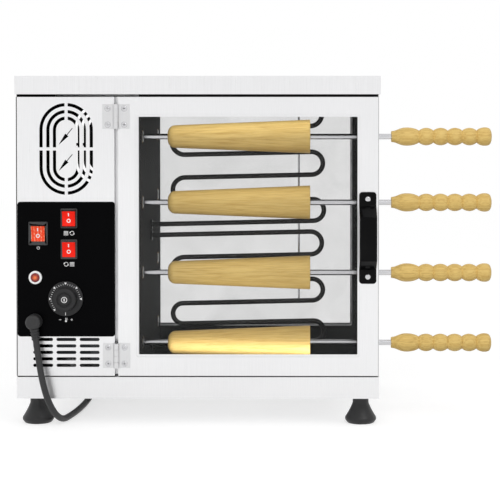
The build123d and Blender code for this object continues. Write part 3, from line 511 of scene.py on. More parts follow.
def finishes():
    """The material for each of the record's slots."""
    return {
        "stainless": outer_steel(),
        "liner_steel": painted_shade_steel(),
        "bright_steel": polished_steel(),
        "machined_steel": machined_steel(),
        "bronze": bearing_bronze(),
        "heater_black": heater_sheath(),
        "black_plate": moulded("black_plate", linear(3, 3, 4), 0.34, 0.004, Specular_IOR_Level=0.03),
        "bezel_black": moulded("bezel_black", linear(46, 46, 47), 0.35),
        "rocker_red": moulded("rocker_red", colours().rocker_red, 0.3, 0.004, Specular_IOR_Level=0.2),
        "rocker_amber": lit_rocker(),
        "lamp_ring": moulded("lamp_ring", linear(236, 236, 236), 0.3, 0.004),
        "lamp_lens": lamp_lens(),
        "knob_black": moulded("knob_black", linear(34, 34, 35), 0.45, Specular_IOR_Level=0.3),
        "handle_black": moulded("handle_black", linear(5, 5, 6), 0.14, 0.004, Specular_IOR_Level=0.08),
        "door_glass": window_glass("window_glass", front_glass_dimming),
        "beech": beech(),
        "foot_rubber": moulded("foot_rubber", colours().rubber, 0.45),
        "cord_rubber": moulded("cord_rubber", linear(36, 36, 37), 0.5),
        "motor_paint": moulded("motor_paint", linear(70, 74, 78), 0.4),
    }


def slot_material(slot):
    """The finished material of one of the record's slots."""
    return bpy.data.materials[bpy.context.scene["finish:" + slot]]


# Mesh helpers, in millimetres

def placed(name, data):
    """A new object in the scene."""
    made = bpy.data.objects.new(name, data)
    bpy.context.scene.collection.objects.link(made)
    return made


def piece(name, mesh, slot, body, *replaced):
    """A finished mesh, riding on its body, with its finish and the nodes that it stands for."""
    bmesh.ops.scale(mesh, vec=(MM, MM, MM), verts=mesh.verts)
    bmesh.ops.recalc_face_normals(mesh, faces=mesh.faces)
    data = bpy.data.meshes.new(name)
    mesh.to_mesh(data)
    mesh.free()
    made = placed(name, data)
    data.materials.append(slot_material(slot))
    data.shade_smooth()
    data.set_sharp_from_angle(angle=math.radians(35))
    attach(made, body)
    if replaced:
        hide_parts(*replaced)
    return made


def facing(x, y, z, way=(0, -1, 0)):
    """The matrix that sets a shape at a point, with its own Z axis along a direction."""
    turn = Vector((0, 0, 1)).rotation_difference(Vector(way))
    return Matrix.Translation((x, y, z)) @ turn.to_matrix().to_4x4()


@contextmanager
def set_at(mesh, place):
    """What is made inside this block, about the origin, is then set in its place."""
    old = set(mesh.verts)
    yield
    bmesh.ops.transform(mesh, matrix=place, verts=[vert for vert in mesh.verts if vert not in old])


def spun(mesh, profile, place, rounds=None, ring=False):
    """A profile of (along, radius) pairs spun about Z, then set in its place."""
    with set_at(mesh, place):
        old = set(mesh.verts)
        verts = [mesh.verts.new((radius, 0, along)) for along, radius in profile]
        edges = [mesh.edges.new(pair) for pair in zip(verts, verts[1:])]
        if ring:
            edges.append(mesh.edges.new((verts[-1], verts[0])))
        bmesh.ops.spin(mesh, geom=verts + edges, axis=(0, 0, 1), cent=(0, 0, 0),
                       steps=rounds or sizes().rounds, angle=math.tau, use_merge=True)
        new = [vert for vert in mesh.verts if vert not in old]
        bmesh.ops.remove_doubles(mesh, verts=new, dist=0.001)


class Profile(list):
    """The (along, radius) points of a turned piece, drawn one stretch after another."""

    def curve(self, pull_first, pull_last, last, steps=10):
        """Go on smoothly to a point, drawn towards two others on the way."""
        corners = [Vector((*point, 0)) for point in (self[-1], pull_first, pull_last, last)]
        self.extend(tuple(point[:2]) for point in interpolate_bezier(*corners, steps + 1)[1:])

    def round(self, corner, last, steps=5):
        """Go on to a point round a corner."""
        pulls = [Vector(end).lerp(Vector(corner), 0.55) for end in (self[-1], last)]
        self.curve(*pulls, last, steps)


def hump(start, length, valley, peak, steps=12):
    """A bead's arc, from valley to valley over its peak, without its first point."""
    rise = peak - valley
    radius = (length ** 2 / 4 + rise ** 2) / (2 * rise)
    half = math.asin(length / 2 / radius)
    points = []
    for i in range(1, steps + 1):
        angle = half * (2 * i / steps - 1)
        points.append((start + length / 2 + radius * math.sin(angle),
                       peak - radius + radius * math.cos(angle)))
    return points


def plate_shape(mesh, width, height, corner, segments=6):
    """A flat rounded rectangle about the origin, facing up Z. Gives its face."""
    old = set(mesh.faces)
    verts = bmesh.ops.create_grid(mesh, x_segments=1, y_segments=1, size=0.5)["verts"]
    bmesh.ops.scale(mesh, vec=(width, height, 1), verts=verts)
    bmesh.ops.bevel(mesh, geom=verts, offset=corner, offset_type="OFFSET", segments=segments,
                    profile=0.5, affect="VERTICES", material=-1)
    return max((face for face in mesh.faces if face not in old), key=lambda face: face.calc_area())


def push(mesh, face, way):
    """Extrude a face along a vector, and give the moved face."""
    made = bmesh.ops.extrude_face_region(mesh, geom=[face])["geom"]
    moved = next(part for part in made if isinstance(part, bmesh.types.BMFace))
    bmesh.ops.translate(mesh, vec=way, verts=moved.verts)
    return moved


def step_in(mesh, face, width, rise=0.0):
    """Draw a face in from its edge and move it along Z: a chamfer, or the rim of a well."""
    bmesh.ops.inset_region(mesh, faces=[face], thickness=width, use_even_offset=True)
    bmesh.ops.translate(mesh, vec=(0, 0, rise), verts=face.verts)
    return face


def soften(mesh, width, segments=3, angle=25):
    """Bevel every edge sharper than an angle."""
    edges = [edge for edge in mesh.edges
             if len(edge.link_faces) == 2 and edge.calc_face_angle() > math.radians(angle)]
    bmesh.ops.bevel(mesh, geom=edges, offset=width, offset_type="OFFSET", segments=segments,
                    profile=0.5, affect="EDGES", material=-1, clamp_overlap=True)


def bar(mesh, x, y, width, height, turn=0.0, parts=6):
    """A flat printed bar, turned clockwise by an angle in degrees about the origin."""
    verts = bmesh.ops.create_grid(mesh, x_segments=1, y_segments=parts, size=0.5)["verts"]
    bmesh.ops.scale(mesh, vec=(width, height, 1), verts=verts)
    bmesh.ops.translate(mesh, vec=(x, y, 0), verts=verts)
    bmesh.ops.rotate(mesh, matrix=Matrix.Rotation(math.radians(-turn), 3, "Z"), verts=verts)


def ring_mark(mesh, x, y, radius, width, start=0.0, sweep=360.0, steps=32):
    """A flat printed ring or arc, from a start angle anticlockwise, in degrees."""
    with set_at(mesh, Matrix.Translation((x, y, 0)) @ Matrix.Rotation(math.radians(start), 4, "Z")):
        verts = [mesh.verts.new((radius + side * width / 2, 0, 0)) for side in (-1, 1)]
        edge = mesh.edges.new(verts)
        bmesh.ops.spin(mesh, geom=verts + [edge], axis=(0, 0, 1), cent=(0, 0, 0), steps=steps,
                       angle=math.radians(sweep), use_merge=sweep == 360.0)


def patch(mesh, *corners):
    """A flat printed shape with straight sides."""
    mesh.faces.new([mesh.verts.new((x, y, 0)) for x, y in corners])


@contextmanager
def printed(mesh):
    """Flat marks made inside this block get the thickness of print."""
    old = set(mesh.faces)
    yield
    flat = [face for face in mesh.faces if face not in old]
    made = bmesh.ops.extrude_face_region(mesh, geom=flat)["geom"]
    raised = [part for part in made if isinstance(part, bmesh.types.BMVert)]
    bmesh.ops.translate(mesh, vec=(0, 0, sizes().print_height), verts=raised)


def outline_loop(mesh, points, z):
    """A closed loop of edges through flat points at a height."""
    verts = [mesh.verts.new((x, y, z)) for x, y in points]
    return [mesh.edges.new(pair) for pair in zip(verts, verts[1:] + verts[:1])]


def cross_outline(arm, web):
    """A plus sign's outline, with a point in the middle of each side, as flat points."""
    quarter = [Vector((arm, 0)), Vector((arm, web)), Vector(((arm + web) / 2, web)),
               Vector((web, web)), Vector((web, (arm + web) / 2)), Vector((web, arm))]
    points = []
    for turn in range(4):
        points += [point @ Matrix.Rotation(math.radians(-90 * turn), 2) for point in quarter]
    return points


def screw_head(mesh, place, radius, height, recess=0.9):
    """A domed screw head with a cross recess, seated on its place."""
    cross = cross_outline(radius * 0.5, radius * 0.14)
    dome = ((1.0, 0.0), (1.0, 0.3), (0.92, 0.66), (0.76, 0.9), (0.62, 1.0))
    with set_at(mesh, place):
        loops = [outline_loop(mesh, [point.normalized() * radius * share for point in cross],
                              height * rise) for share, rise in dome]
        loops.append(outline_loop(mesh, cross, height))
        loops.append(outline_loop(mesh, [point * 0.75 for point in cross], height - recess))
        for lower, upper in zip(loops, loops[1:]):
            bmesh.ops.bridge_loops(mesh, edges=lower + upper)
        for loop in (loops[0], loops[-1]):
            bmesh.ops.contextual_create(mesh, geom=loop)


# Studio

class GRILL_OT_stage(bpy.types.Operator):
    """Make the floor, the lights, the surroundings and the camera"""
    bl_idname = "grill.stage"
    bl_label = "Stage and camera"

    # Lights in metres: where each stands, how large it is, and for the strips their share of power
    key_place, key_size = (-0.7, -2.8, 0.5), 1.8
    fill_place, fill_size = (1.2, -2.0, 2.4), 1.2
    strip_place = (0.005, -0.168)
    strip_size = (0.32, 0.02)
    strips = {"upper_strip": (0.505, 1.0), "lower_strip": (0.105, 1.1)}
    target = (0.005, -0.11, 0.28)
    floor_half = 6.0

    def execute(self, context):
        scene = context.scene
        scene.view_settings.view_transform = "Standard"
        self.make_world(scene)
        self.make_floor()
        self.make_light("key_light", self.key_place, self.key_size, studio().key_power)
        fill = self.make_light("fill_light", self.fill_place, self.fill_size, studio().fill_power)
        fill.visible_glossy = True
        for name, (height, share) in self.strips.items():
            strip = self.make_light(name, (*self.strip_place, height), self.strip_size[0],
                                    studio().chamber_power * share)
            strip.data.shape = "RECTANGLE"
            strip.data.size_y = self.strip_size[1]
        self.make_camera(scene)
        return {"FINISHED"}

    def seen(self, tree):
        """1 for what the camera sees directly, in reflections and through glass."""
        path = tree.nodes.new("ShaderNodeLightPath")
        seen = path.outputs["Is Camera Ray"]
        for ray in ("Is Glossy Ray", "Is Transmission Ray"):
            either = tree.nodes.new("ShaderNodeMath")
            either.operation = "MAXIMUM"
            tree.links.new(seen, either.inputs[0])
            tree.links.new(path.outputs[ray], either.inputs[1])
            seen = either.outputs[0]
        return seen

    def make_world(self, scene):
        """White to the eye, in reflections and through glass, softer on matt surfaces."""
        world = bpy.data.worlds.new("soft_surroundings")
        world.use_nodes = True
        tree = world.node_tree
        seen = self.seen(tree)
        strength = tree.nodes.new("ShaderNodeMapRange")
        strength.inputs["To Min"].default_value = studio().sky
        strength.inputs["To Max"].default_value = 1.0
        tree.links.new(seen, strength.inputs["Value"])
        background = tree.nodes["Background"]
        background.inputs["Color"].default_value = (1, 1, 1, 1)
        tree.links.new(strength.outputs[0], background.inputs["Strength"])
        scene.world = world

    def make_floor(self):
        mesh = bmesh.new()
        bmesh.ops.create_grid(mesh, x_segments=1, y_segments=1, size=self.floor_half)
        data = bpy.data.meshes.new("floor")
        mesh.to_mesh(data)
        mesh.free()
        floor = placed("floor", data)
        data.materials.append(self.floor_material())

    def floor_material(self):
        """White to the camera, but still darkened a little by the object's shadow."""
        finish = Finish("pale_floor", linear(188, 188, 188), 0.9, Specular_IOR_Level=0.0)
        finish.shader.inputs["Emission Color"].default_value = (1, 1, 1, 1)
        glow = finish.math("MULTIPLY", self.seen(finish.tree), studio().floor_glow)
        finish.put(finish.shader, "Emission Strength", glow)
        speckle = finish.noise(300, detail=2)
        finish.colour(finish.blend(speckle, linear(186, 186, 186), linear(190, 190, 190)))
        return finish.material

    def make_light(self, name, place, size, power):
        """A soft light aimed at the chamber, which shows neither itself nor its mirror image."""
        light = bpy.data.lights.new(name, "AREA")
        light.shape = "DISK"
        light.size = size
        light.energy = power
        lamp = placed(name, light)
        lamp.location = place
        aim = Vector(self.target) - Vector(place)
        lamp.rotation_euler = aim.to_track_quat("-Z", "Y").to_euler()
        lamp.visible_camera = False
        lamp.visible_glossy = False
        return lamp

    def make_camera(self, scene):
        data = bpy.data.cameras.new("camera")
        data.lens = studio().lens
        data.shift_x, data.shift_y = studio().shift
        data.clip_start = 0.05
        data.clip_end = 50.0
        camera = placed("camera", data)
        camera.location = studio().eye
        camera.rotation_euler = (math.radians(90) - studio().pitch, 0, studio().yaw)
        scene.camera = camera


class GRILL_OT_finishes(bpy.types.Operator):
    """Give every node of the frame its finish"""
    bl_idname = "grill.finishes"
    bl_label = "Finishes"

    def execute(self, context):
        for slot, material in finishes().items():
            context.scene["finish:" + slot] = material.name
        special = special_finishes()
        for row in frame["record"]["subparts"]:
            material = special.get(row["node"]) or slot_material(row["material_slot"])
            for place in frame["nodes"][row["node"]].material_slots:
                place.material = material
        return {"FINISHED"}


# Mains lead

# Points of the lead in metres, from the gland down and in under the plinth
west = left * MM
south = front * MM
cord_mouth = (west + 0.03246, south - 0.0160, 0.13676)
cord_route = (
    (west + 0.0358, south - 0.0160, 0.1130),
    (west + 0.0415, south - 0.0225, 0.0825),
    (west + 0.0490, south - 0.0230, 0.0514),
    (west + 0.0580, south - 0.0060, 0.0220),
    (west + 0.0670, south + 0.0234, 0.0050),
    (west + 0.0750, south + 0.0650, 0.0050),
    (west + 0.0810, south + 0.1220, 0.0050),
    (west + 0.0835, south + 0.1900, 0.0050),
    (west + 0.0820, south + 0.2500, 0.0050),
    (west + 0.0820, 0.1080, 0.0050),
)
coil_steps = (0, 0, 1, 1, 2, 2, 2, 1, 1)
coil_climb = 4
coil_loose_turns = (6, 8)
coil_points_per_half = 8
coil_centre_y = 0.118
coil_turn_gap = 0.0009
coil_shift = 0.0088
coil_lead_out = 0.025


def coil_step():
    """How far the turns of the lead lie from each other, in metres."""
    return 2 * sizes().cord_radius + coil_turn_gap


def coil_ends():
    """Where each half turn starts and ends along X, further in with each turn."""
    low_corner, high_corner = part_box("power_cord_coil")
    outer = (high_corner.x - low_corner.x) / 2 - sizes().cord_radius
    coil_x = (high_corner.x + low_corner.x) / 2
    ends = []
    for i, reach in enumerate(coil_steps):
        loose = coil_shift if i in coil_loose_turns else 0
        side = -1 if i % 2 == 0 else 1
        ends.append(coil_x + side * (outer - reach * coil_step() + loose))
    return ends


def coil_points():
    """Control points of the put-away turns: in along the floor, a climb, and out on top."""
    radius = sizes().cord_radius
    step = coil_step()
    ends = coil_ends()
    points = []
    half_step = math.pi / coil_points_per_half
    for i, (start, stop) in enumerate(zip(ends, ends[1:])):
        way = 1 if i % 2 == 0 else -1
        reach = (stop - start) / 2 / math.cos(half_step / 2)
        for k in range(coil_points_per_half):
            share = (k + 0.5) / coil_points_per_half
            angle = math.pi * share
            x = (start + stop) / 2 - reach * math.cos(angle)
            y = coil_centre_y + way * abs(reach) * math.sin(angle)
            rise = 0 if i < coil_climb else step * (share if i == coil_climb else 1)
            points.append((x, y, radius + rise))
    points.append((ends[-1], coil_centre_y, radius + step))
    points.append((ends[-1], coil_centre_y + coil_lead_out, radius + step))
    return points


class GRILL_OT_mains_lead(bpy.types.Operator):
    """Make the mains lead, from the gland to its put-away turns under the cabinet"""
    bl_idname = "grill.mains_lead"
    bl_label = "Mains lead"

    relief_length = 35.0
    body_length = 42.0
    body_width = 40.0
    neck_share = (0.5, 0.56)
    neck_corner = 6.5
    shoulders = (5.0, 11.0)
    shoulder_growth = 1.28
    bulge_at = 0.45
    bulge = (1.17, 1.06)
    face_edge = 1.0
    pin_length = 19.0
    pin_radius = 2.4
    pin_pitch = 19.0
    pin_root = 1.0
    pin_round = 1.8

    def execute(self, context):
        points = [cord_mouth, *cord_route, *coil_points()]
        curve = bpy.data.curves.new("mains_lead", "CURVE")
        curve.dimensions = "3D"
        spline = curve.splines.new("NURBS")
        spline.points.add(len(points) - 1)
        for control, point in zip(spline.points, points):
            control.co = (*point, 1.0)
        spline.order_u = 3
        spline.use_endpoint_u = True
        spline.resolution_u = 6
        curve.bevel_depth = sizes().cord_radius
        curve.bevel_resolution = 6
        curve.use_fill_caps = True
        curve.materials.append(slot_material("cord_rubber"))
        lead = placed("mains_lead", curve)
        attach(lead, "cabinet")
        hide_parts("power_cord_run", "power_cord_coil")
        self.make_plug()
        return {"FINISHED"}

    def make_plug(self):
        """A moulded plug with a ribbed relief, and two round pins."""
        start = low("mains_plug")
        centre = middle("mains_plug")
        along = facing(centre.x, start.y, centre.z, (0, 1, 0))
        neck = (self.body_width * self.neck_share[0], 2 * centre.z * self.neck_share[1])
        growth = (self.shoulder_growth, self.shoulder_growth, 1)
        last = (1 - self.bulge_at) * self.body_length - sum(self.shoulders) - self.face_edge
        mesh = bmesh.new()
        spun(mesh, ribbed(self.relief_length, bore=5.1, tip=6.6, root=7.5, ribs=6), along)
        with set_at(mesh, along @ Matrix.Translation((0, 0, self.relief_length))):
            face = plate_shape(mesh, *neck, self.neck_corner)
            for depth in self.shoulders:
                face = push(mesh, face, (0, 0, depth))
                bmesh.ops.scale(mesh, vec=growth, verts=face.verts)
            face = push(mesh, face, (0, 0, self.bulge_at * self.body_length))
            bmesh.ops.scale(mesh, vec=(*self.bulge, 1), verts=face.verts)
            face = push(mesh, face, (0, 0, last))
            step_in(mesh, face, self.face_edge, self.face_edge)
        plug = piece("moulded_plug", mesh, "cord_rubber", "cabinet", "mains_plug")
        root = start.y + self.relief_length + self.body_length - self.pin_root
        return [plug, self.make_pins(centre, root)]

    def make_pins(self, centre, root):
        tip = self.pin_length + self.pin_root
        profile = Profile([(0, 0), (0, self.pin_radius), (tip - self.pin_round, self.pin_radius)])
        profile.round((tip, self.pin_radius), (tip, 0.0), 6)
        mesh = bmesh.new()
        for x in (centre.x - self.pin_pitch / 2, centre.x + self.pin_pitch / 2):
            spun(mesh, profile, facing(x, root, centre.z, (0, 1, 0)), rounds=24)
        return piece("plug_pins", mesh, "bright_steel", "cabinet")


# Turned wooden pieces

def turn_wood(kind, name, profile, **shape):
    """The same piece for each roll, spun along X in its node's place."""
    for i in range(1, roll_count + 1):
        node = f"{kind}_{i}"
        centre = middle(node)
        mesh = bmesh.new()
        spun(mesh, profile(node), facing(low(node).x, centre.y, centre.z, (1, 0, 0)), **shape)
        piece(f"{name}_{i}", mesh, "beech", f"roll_{i}", node)


class GRILL_OT_rolls(bpy.types.Operator):
    """Turn the tapered baking rolls"""
    bl_idname = "grill.rolls"
    bl_label = "Baking rolls"

    small_radius = 17.5
    small_rounding = 11.0
    edge = 1.2
    bore = 4.6

    def execute(self, context):
        turn_wood("baking_roll", "wooden_roll", self.profile, rounds=96, ring=True)
        return {"FINISHED"}

    def profile(self, node):
        length = high(node).x - low(node).x
        large = (high(node).z - low(node).z) / 2
        taper = (large - self.small_radius) / length
        shoulder = (self.small_rounding, self.small_radius + taper * self.small_rounding)
        profile = Profile([(0, self.bore), (0, self.small_radius - self.small_rounding)])
        profile.round((0, self.small_radius), shoulder, 12)
        profile.append((length - self.edge, large - taper * self.edge))
        profile.round((length, large), (length, large - self.edge), 4)
        profile.append((length, self.bore))
        return profile


class GRILL_OT_grips(bpy.types.Operator):
    """Turn the beaded grips: collar, tulip, four beads and a bulb"""
    bl_idname = "grill.grips"
    bl_label = "Beaded grips"

    bore = 4.6
    bore_depth = 60.1
    collar_radius = 8.75
    tulip = ((9.0, 8.9), (24.0, 14.5), (44.0, 9.6))
    bead_count = 4
    bead_pitch = 22.8
    bead_radius = 13.9
    valley_radius = 9.7
    bulb_radius = 14.7

    def execute(self, context):
        turn_wood("roll_grip", "beaded_grip", self.profile)
        return {"FINISHED"}

    def profile(self, node):
        length = high(node).x - low(node).x
        neck, belly, waist = self.tulip
        profile = Profile([(self.bore_depth, 0), (self.bore_depth, self.bore), (0, self.bore),
                           (0, self.collar_radius - 0.6), (0.6, self.collar_radius)])
        profile.curve((neck[0], neck[1]), (belly[0] - 11, belly[1]), belly, 14)
        profile.curve((belly[0] + 9, belly[1]), (waist[0] - 5, waist[1] + 3.2), waist, 12)
        along = waist[0]
        for _ in range(self.bead_count):
            profile += hump(along, self.bead_pitch, self.valley_radius, self.bead_radius)
            along += self.bead_pitch
        crown = (along + (length - along) * 0.52, self.bulb_radius)
        profile.curve((along + 2.0, 12.6), (crown[0] - 4.5, crown[1]), crown, 8)
        rim = (length - 2.2, 11.0)
        profile.curve((crown[0] + 5.0, crown[1]), (rim[0] - 1.2, rim[1] + 2.6), rim, 8)
        profile.curve((rim[0] + 1.4, rim[1] - 2.6), (length, 5.0), (length, 0.0), 8)
        return profile


# Feet and handles

class GRILL_OT_feet(bpy.types.Operator):
    """Make the four conical rubber feet"""
    bl_idname = "grill.feet"
    bl_label = "Feet"

    radius = 25.0
    sole_radius = 21.0
    rim = 7.0
    neck_radius = 12.5
    neck_length = 11.5
    hollow_radius = 16.5
    hollow_depth = 1.4

    def execute(self, context):
        corner, far = low("adjustable_feet"), high("adjustable_feet")
        radius = self.radius
        height = far.z
        profile = Profile([(self.hollow_depth, 0), (self.hollow_depth, self.hollow_radius),
                           (0, self.hollow_radius + 0.8), (0, self.sole_radius - 0.8),
                           (0.8, self.sole_radius + 0.3), (self.rim - 3.0, radius - 1.2)])
        profile.round((self.rim, radius + 0.5), (self.rim + 2.6, radius - 1.3), 8)
        neck = (height - self.neck_length, self.neck_radius)
        profile.curve((self.rim + 11.0, radius - 6.6), (neck[0] - 7.0, neck[1] + 2.4), neck, 12)
        profile += [(height - 2.2, self.neck_radius), (height - 2.0, self.neck_radius - 0.5),
                    (height, self.neck_radius - 0.5), (height, 0)]
        mesh = bmesh.new()
        for x in (corner.x + radius, far.x - radius):
            for y in (corner.y + radius, far.y - radius):
                spun(mesh, profile, Matrix.Translation((x, y, 0)))
        piece("rubber_feet", mesh, "foot_rubber", "cabinet", "adjustable_feet")
        return {"FINISHED"}


handle_foot = 22.4
handle_foot_thickness = 4.5
handle_screw_inset = 11.0
handle_sides = {"front_door": 1, "rear_door": -1}


class GRILL_OT_handles(bpy.types.Operator):
    """Make the two bow handles"""
    bl_idname = "grill.handles"
    bl_label = "Door handles"

    bar_depth = 9.0
    slope = 16.0
    corner = 5.0
    edge = 1.3

    def execute(self, context):
        for door, side in handle_sides.items():
            mesh = bmesh.new()
            self.make_bow(mesh)
            centre = middle("front_door_handle")
            mirror = Matrix.Diagonal((1, side, 1, 1))
            bmesh.ops.transform(mesh, matrix=mirror @ Matrix.Translation((centre.x, 0, centre.z)),
                                verts=mesh.verts)
            piece(door + "_bow", mesh, "handle_black", door, door + "_handle")
        return {"FINISHED"}

    def make_bow(self, mesh):
        """Side view of the bow pushed out to its width, with rounded ends and soft edges."""
        nearest, farthest = low("front_door_handle"), high("front_door_handle")
        half = (farthest.z - nearest.z) / 2
        width = farthest.x - nearest.x
        bend = half - handle_foot
        foot = front - handle_foot_thickness
        inside = nearest.y + self.bar_depth
        upper = [(inside, bend - self.slope), (front, bend), (front, half), (foot, half),
                 (foot, bend + 1.0), (nearest.y, bend - self.slope + 1.0)]
        points = upper + [(y, -z) for y, z in reversed(upper)]
        face = mesh.faces.new([mesh.verts.new((-width / 2, y, z)) for y, z in points])
        push(mesh, face, (width, 0, 0))
        mesh.normal_update()
        ends = [edge for edge in mesh.edges
                if all(abs(abs(vert.co.z) - half) < 0.01 for vert in edge.verts)
                and abs(edge.verts[0].co.x - edge.verts[1].co.x) < 0.01]
        bmesh.ops.bevel(mesh, geom=ends, offset=self.corner, offset_type="OFFSET", segments=8,
                        profile=0.5, affect="EDGES", material=-1)
        bmesh.ops.recalc_face_normals(mesh, faces=mesh.faces)
        soften(mesh, self.edge, 4)


class GRILL_OT_screws(bpy.types.Operator):
    """Make the screws of the hinges, the handles and the side panels"""
    bl_idname = "grill.screws"
    bl_label = "Screws"

    side_radius = 4.0
    side_height = 2.0
    left_ys, left_rises = (-150.0, 150.0), (17.1, 152.0, 288.4)
    right_ys, right_rises = (-60.0, 60.0), (219.1, 313.5)
    lid_rise = 12.0
    hinge_radius = 3.4
    hinge_height = 0.9
    hinge_offset = 12.7
    hinge_inset = 6.8
    hinge_pitch = 25.0
    countersink = ((0, 4.1), (0, 4.8), (0.35, 4.6), (0.35, 4.3))
    leaf_front = 2.0
    handle_radius = 4.4
    handle_height = 2.2

    def execute(self, context):
        self.make_side_screws()
        axis = (high("front_door_hinge_leaves").x + low("hinge_fixed_leaves").x) / 2
        cabinet = bmesh.new()
        for door, side in handle_sides.items():
            mesh = bmesh.new()
            for z in self.hinge_heights():
                self.make_sunk_screw(cabinet, axis - self.hinge_offset, z, side)
                self.make_sunk_screw(mesh, axis + self.hinge_offset, z, side)
            centre = middle("front_door_handle")
            half = (high("front_door_handle").z - low("front_door_handle").z) / 2
            reach = rear + handle_foot_thickness
            for end in (-1, 1):
                z = centre.z + end * (half - handle_screw_inset)
                screw_head(mesh, facing(centre.x, -side * reach, z, (0, -side, 0)),
                           self.handle_radius, self.handle_height)
            piece(door + "_screws", mesh, "bright_steel", door)
        piece("hinge_screws", cabinet, "bright_steel", "cabinet")
        return {"FINISHED"}

    def hinge_heights(self):
        """Two screws in each leaf of the upper and of the lower hinge."""
        bottom = low("hinge_fixed_leaves").z + self.hinge_inset
        top = high("hinge_fixed_leaves").z - self.hinge_inset
        return (bottom, bottom + self.hinge_pitch, top - self.hinge_pitch, top)

    def make_sunk_screw(self, mesh, x, z, side):
        """A flat head in its countersink, which shows as a ring round it."""
        place = facing(x, -side * (rear + self.leaf_front), z, (0, -side, 0))
        screw_head(mesh, place, self.hinge_radius, self.hinge_height)
        spun(mesh, self.countersink, place, rounds=32, ring=True)

    def make_side_screws(self):
        """Dome heads on both side panels and on the lid, front and back."""
        plinth_top = high("base_plinth").z
        lid = (high("top_cover").x, low("top_cover").z + self.lid_rise)
        places = [(left, y, plinth_top + rise, -1) for y in self.left_ys for rise in self.left_rises]
        for y in self.right_ys:
            places += [(right, y, plinth_top + rise, 1) for rise in self.right_rises]
            places.append((lid[0], y, lid[1], 1))
        mesh = bmesh.new()
        for x, y, z, way in places:
            screw_head(mesh, facing(x, y, z, (way, 0, 0)), self.side_radius, self.side_height)
        piece("side_screws", mesh, "bright_steel", "cabinet", "cabinet_screws")


# Controls

class GRILL_OT_switches(bpy.types.Operator):
    """Make the three switches: bezels, rockers and their marks"""
    bl_idname = "grill.switches"
    bl_label = "Switches"

    power_bezel, power_rocker = (29.7, 36.3), (21.0, 24.0)
    turn_bezel, turn_rocker = (25.4, 30.4), (20.0, 23.5)
    bezel_corner = 1.5
    bezel_height = 2.5
    body_depth = 23.5
    body_step = 0.2
    well_depth = 14.0
    well_play = (0.6, 1.6)
    body_wall = 1.8
    tilt = 9.0
    proud = 3.0
    dip = 1.4
    rocker_back = (3.5, 7.0)
    face_steps = 12
    stroke_at, stroke = 0.56, (1.6, 5.2)
    circle_at, circle = -0.27, (2.5, 1.2)

    def execute(self, context):
        power = middle("power_switch_housing")
        turn = middle("rotation_switch_housings")
        half = self.turn_bezel[1] / 2
        top = high("rotation_switch_housings").z - half
        bottom = low("rotation_switch_housings").z + half
        mesh = bmesh.new()
        self.make_housing(mesh, power.x, power.z, self.power_bezel, self.power_rocker)
        piece("power_switch_bezel", mesh, "bezel_black", "cabinet", "power_switch_housing")
        mesh = bmesh.new()
        for z in (top, bottom):
            self.make_housing(mesh, turn.x, z, self.turn_bezel, self.turn_rocker)
        piece("rotation_switch_bezels", mesh, "bezel_black", "cabinet", "rotation_switch_housings")
        self.make_rocker("power", "rocker_amber", power.x, power.z, self.power_rocker)
        self.make_rocker("left_rotation", "rocker_red", turn.x, top, self.turn_rocker)
        self.make_rocker("right_rotation", "rocker_red", turn.x, bottom, self.turn_rocker)
        return {"FINISHED"}

    def make_housing(self, mesh, x, z, bezel, rocker):
        """A bezel with a soft rim, the well that the rocker tilts in, and the body behind."""
        well = [side + play for side, play in zip(rocker, self.well_play)]
        edge = sizes().edge_round
        with set_at(mesh, facing(x, plate_front, z)):
            back = plate_shape(mesh, *bezel, self.bezel_corner)
            top = push(mesh, back, (0, 0, self.bezel_height - edge))
            step_in(mesh, top, edge, edge)
            rim = (bezel[0] - well[0]) / 2 - edge
            step_in(mesh, top, rim)
            stretch = well[1] / (bezel[1] - 2 * edge - 2 * rim)
            bmesh.ops.scale(mesh, vec=(1, stretch, 1), verts=top.verts)
            push(mesh, top, (0, 0, -self.well_depth))
            narrow = [(inner + 2 * self.body_wall) / outer for inner, outer in zip(well, bezel)]
            body = push(mesh, back, (0, 0, -self.body_step))
            bmesh.ops.scale(mesh, vec=(*narrow, 1), verts=body.verts)
            push(mesh, body, (0, 0, -self.body_depth))

    def front_of(self, z, half):
        """How far out the rocker's face stands at a height: proud at both ends, dipped between."""
        return -self.proud + self.dip * (1 - (z / half) ** 2)

    def make_rocker(self, name, slot, x, z, size):
        half = size[1] / 2
        place = Matrix.Translation((x, plate_front - self.bezel_height, z))
        place = place @ Matrix.Rotation(math.radians(self.tilt), 4, "X")
        heights = [half * (1 - 2 * i / self.face_steps) for i in range(self.face_steps + 1)]
        points = [(self.front_of(height, half), height) for height in heights]
        shoulder, back = self.rocker_back
        points += [(shoulder, 1 - half), (back, -half / 3), (back, half / 3), (shoulder, half - 1)]
        mesh = bmesh.new()
        with set_at(mesh, place):
            face = mesh.faces.new([mesh.verts.new((-size[0] / 2, y, height)) for y, height in points])
            push(mesh, face, (size[0], 0, 0))
            bmesh.ops.recalc_face_normals(mesh, faces=mesh.faces)
            soften(mesh, sizes().edge_round)
        piece(name + "_rocker_cap", mesh, slot, name + "_switch", name + "_rocker")
        mesh = bmesh.new()
        with set_at(mesh, place):
            with set_at(mesh, facing(0, 0, 0)):
                with printed(mesh):
                    bar(mesh, 0, half * self.stroke_at, *self.stroke)
                    ring_mark(mesh, 0, half * self.circle_at, *self.circle)
            for vert in mesh.verts:
                vert.co.y += self.front_of(vert.co.z, half)
        piece(name + "_rocker_marks", mesh, "lamp_ring", name + "_switch")


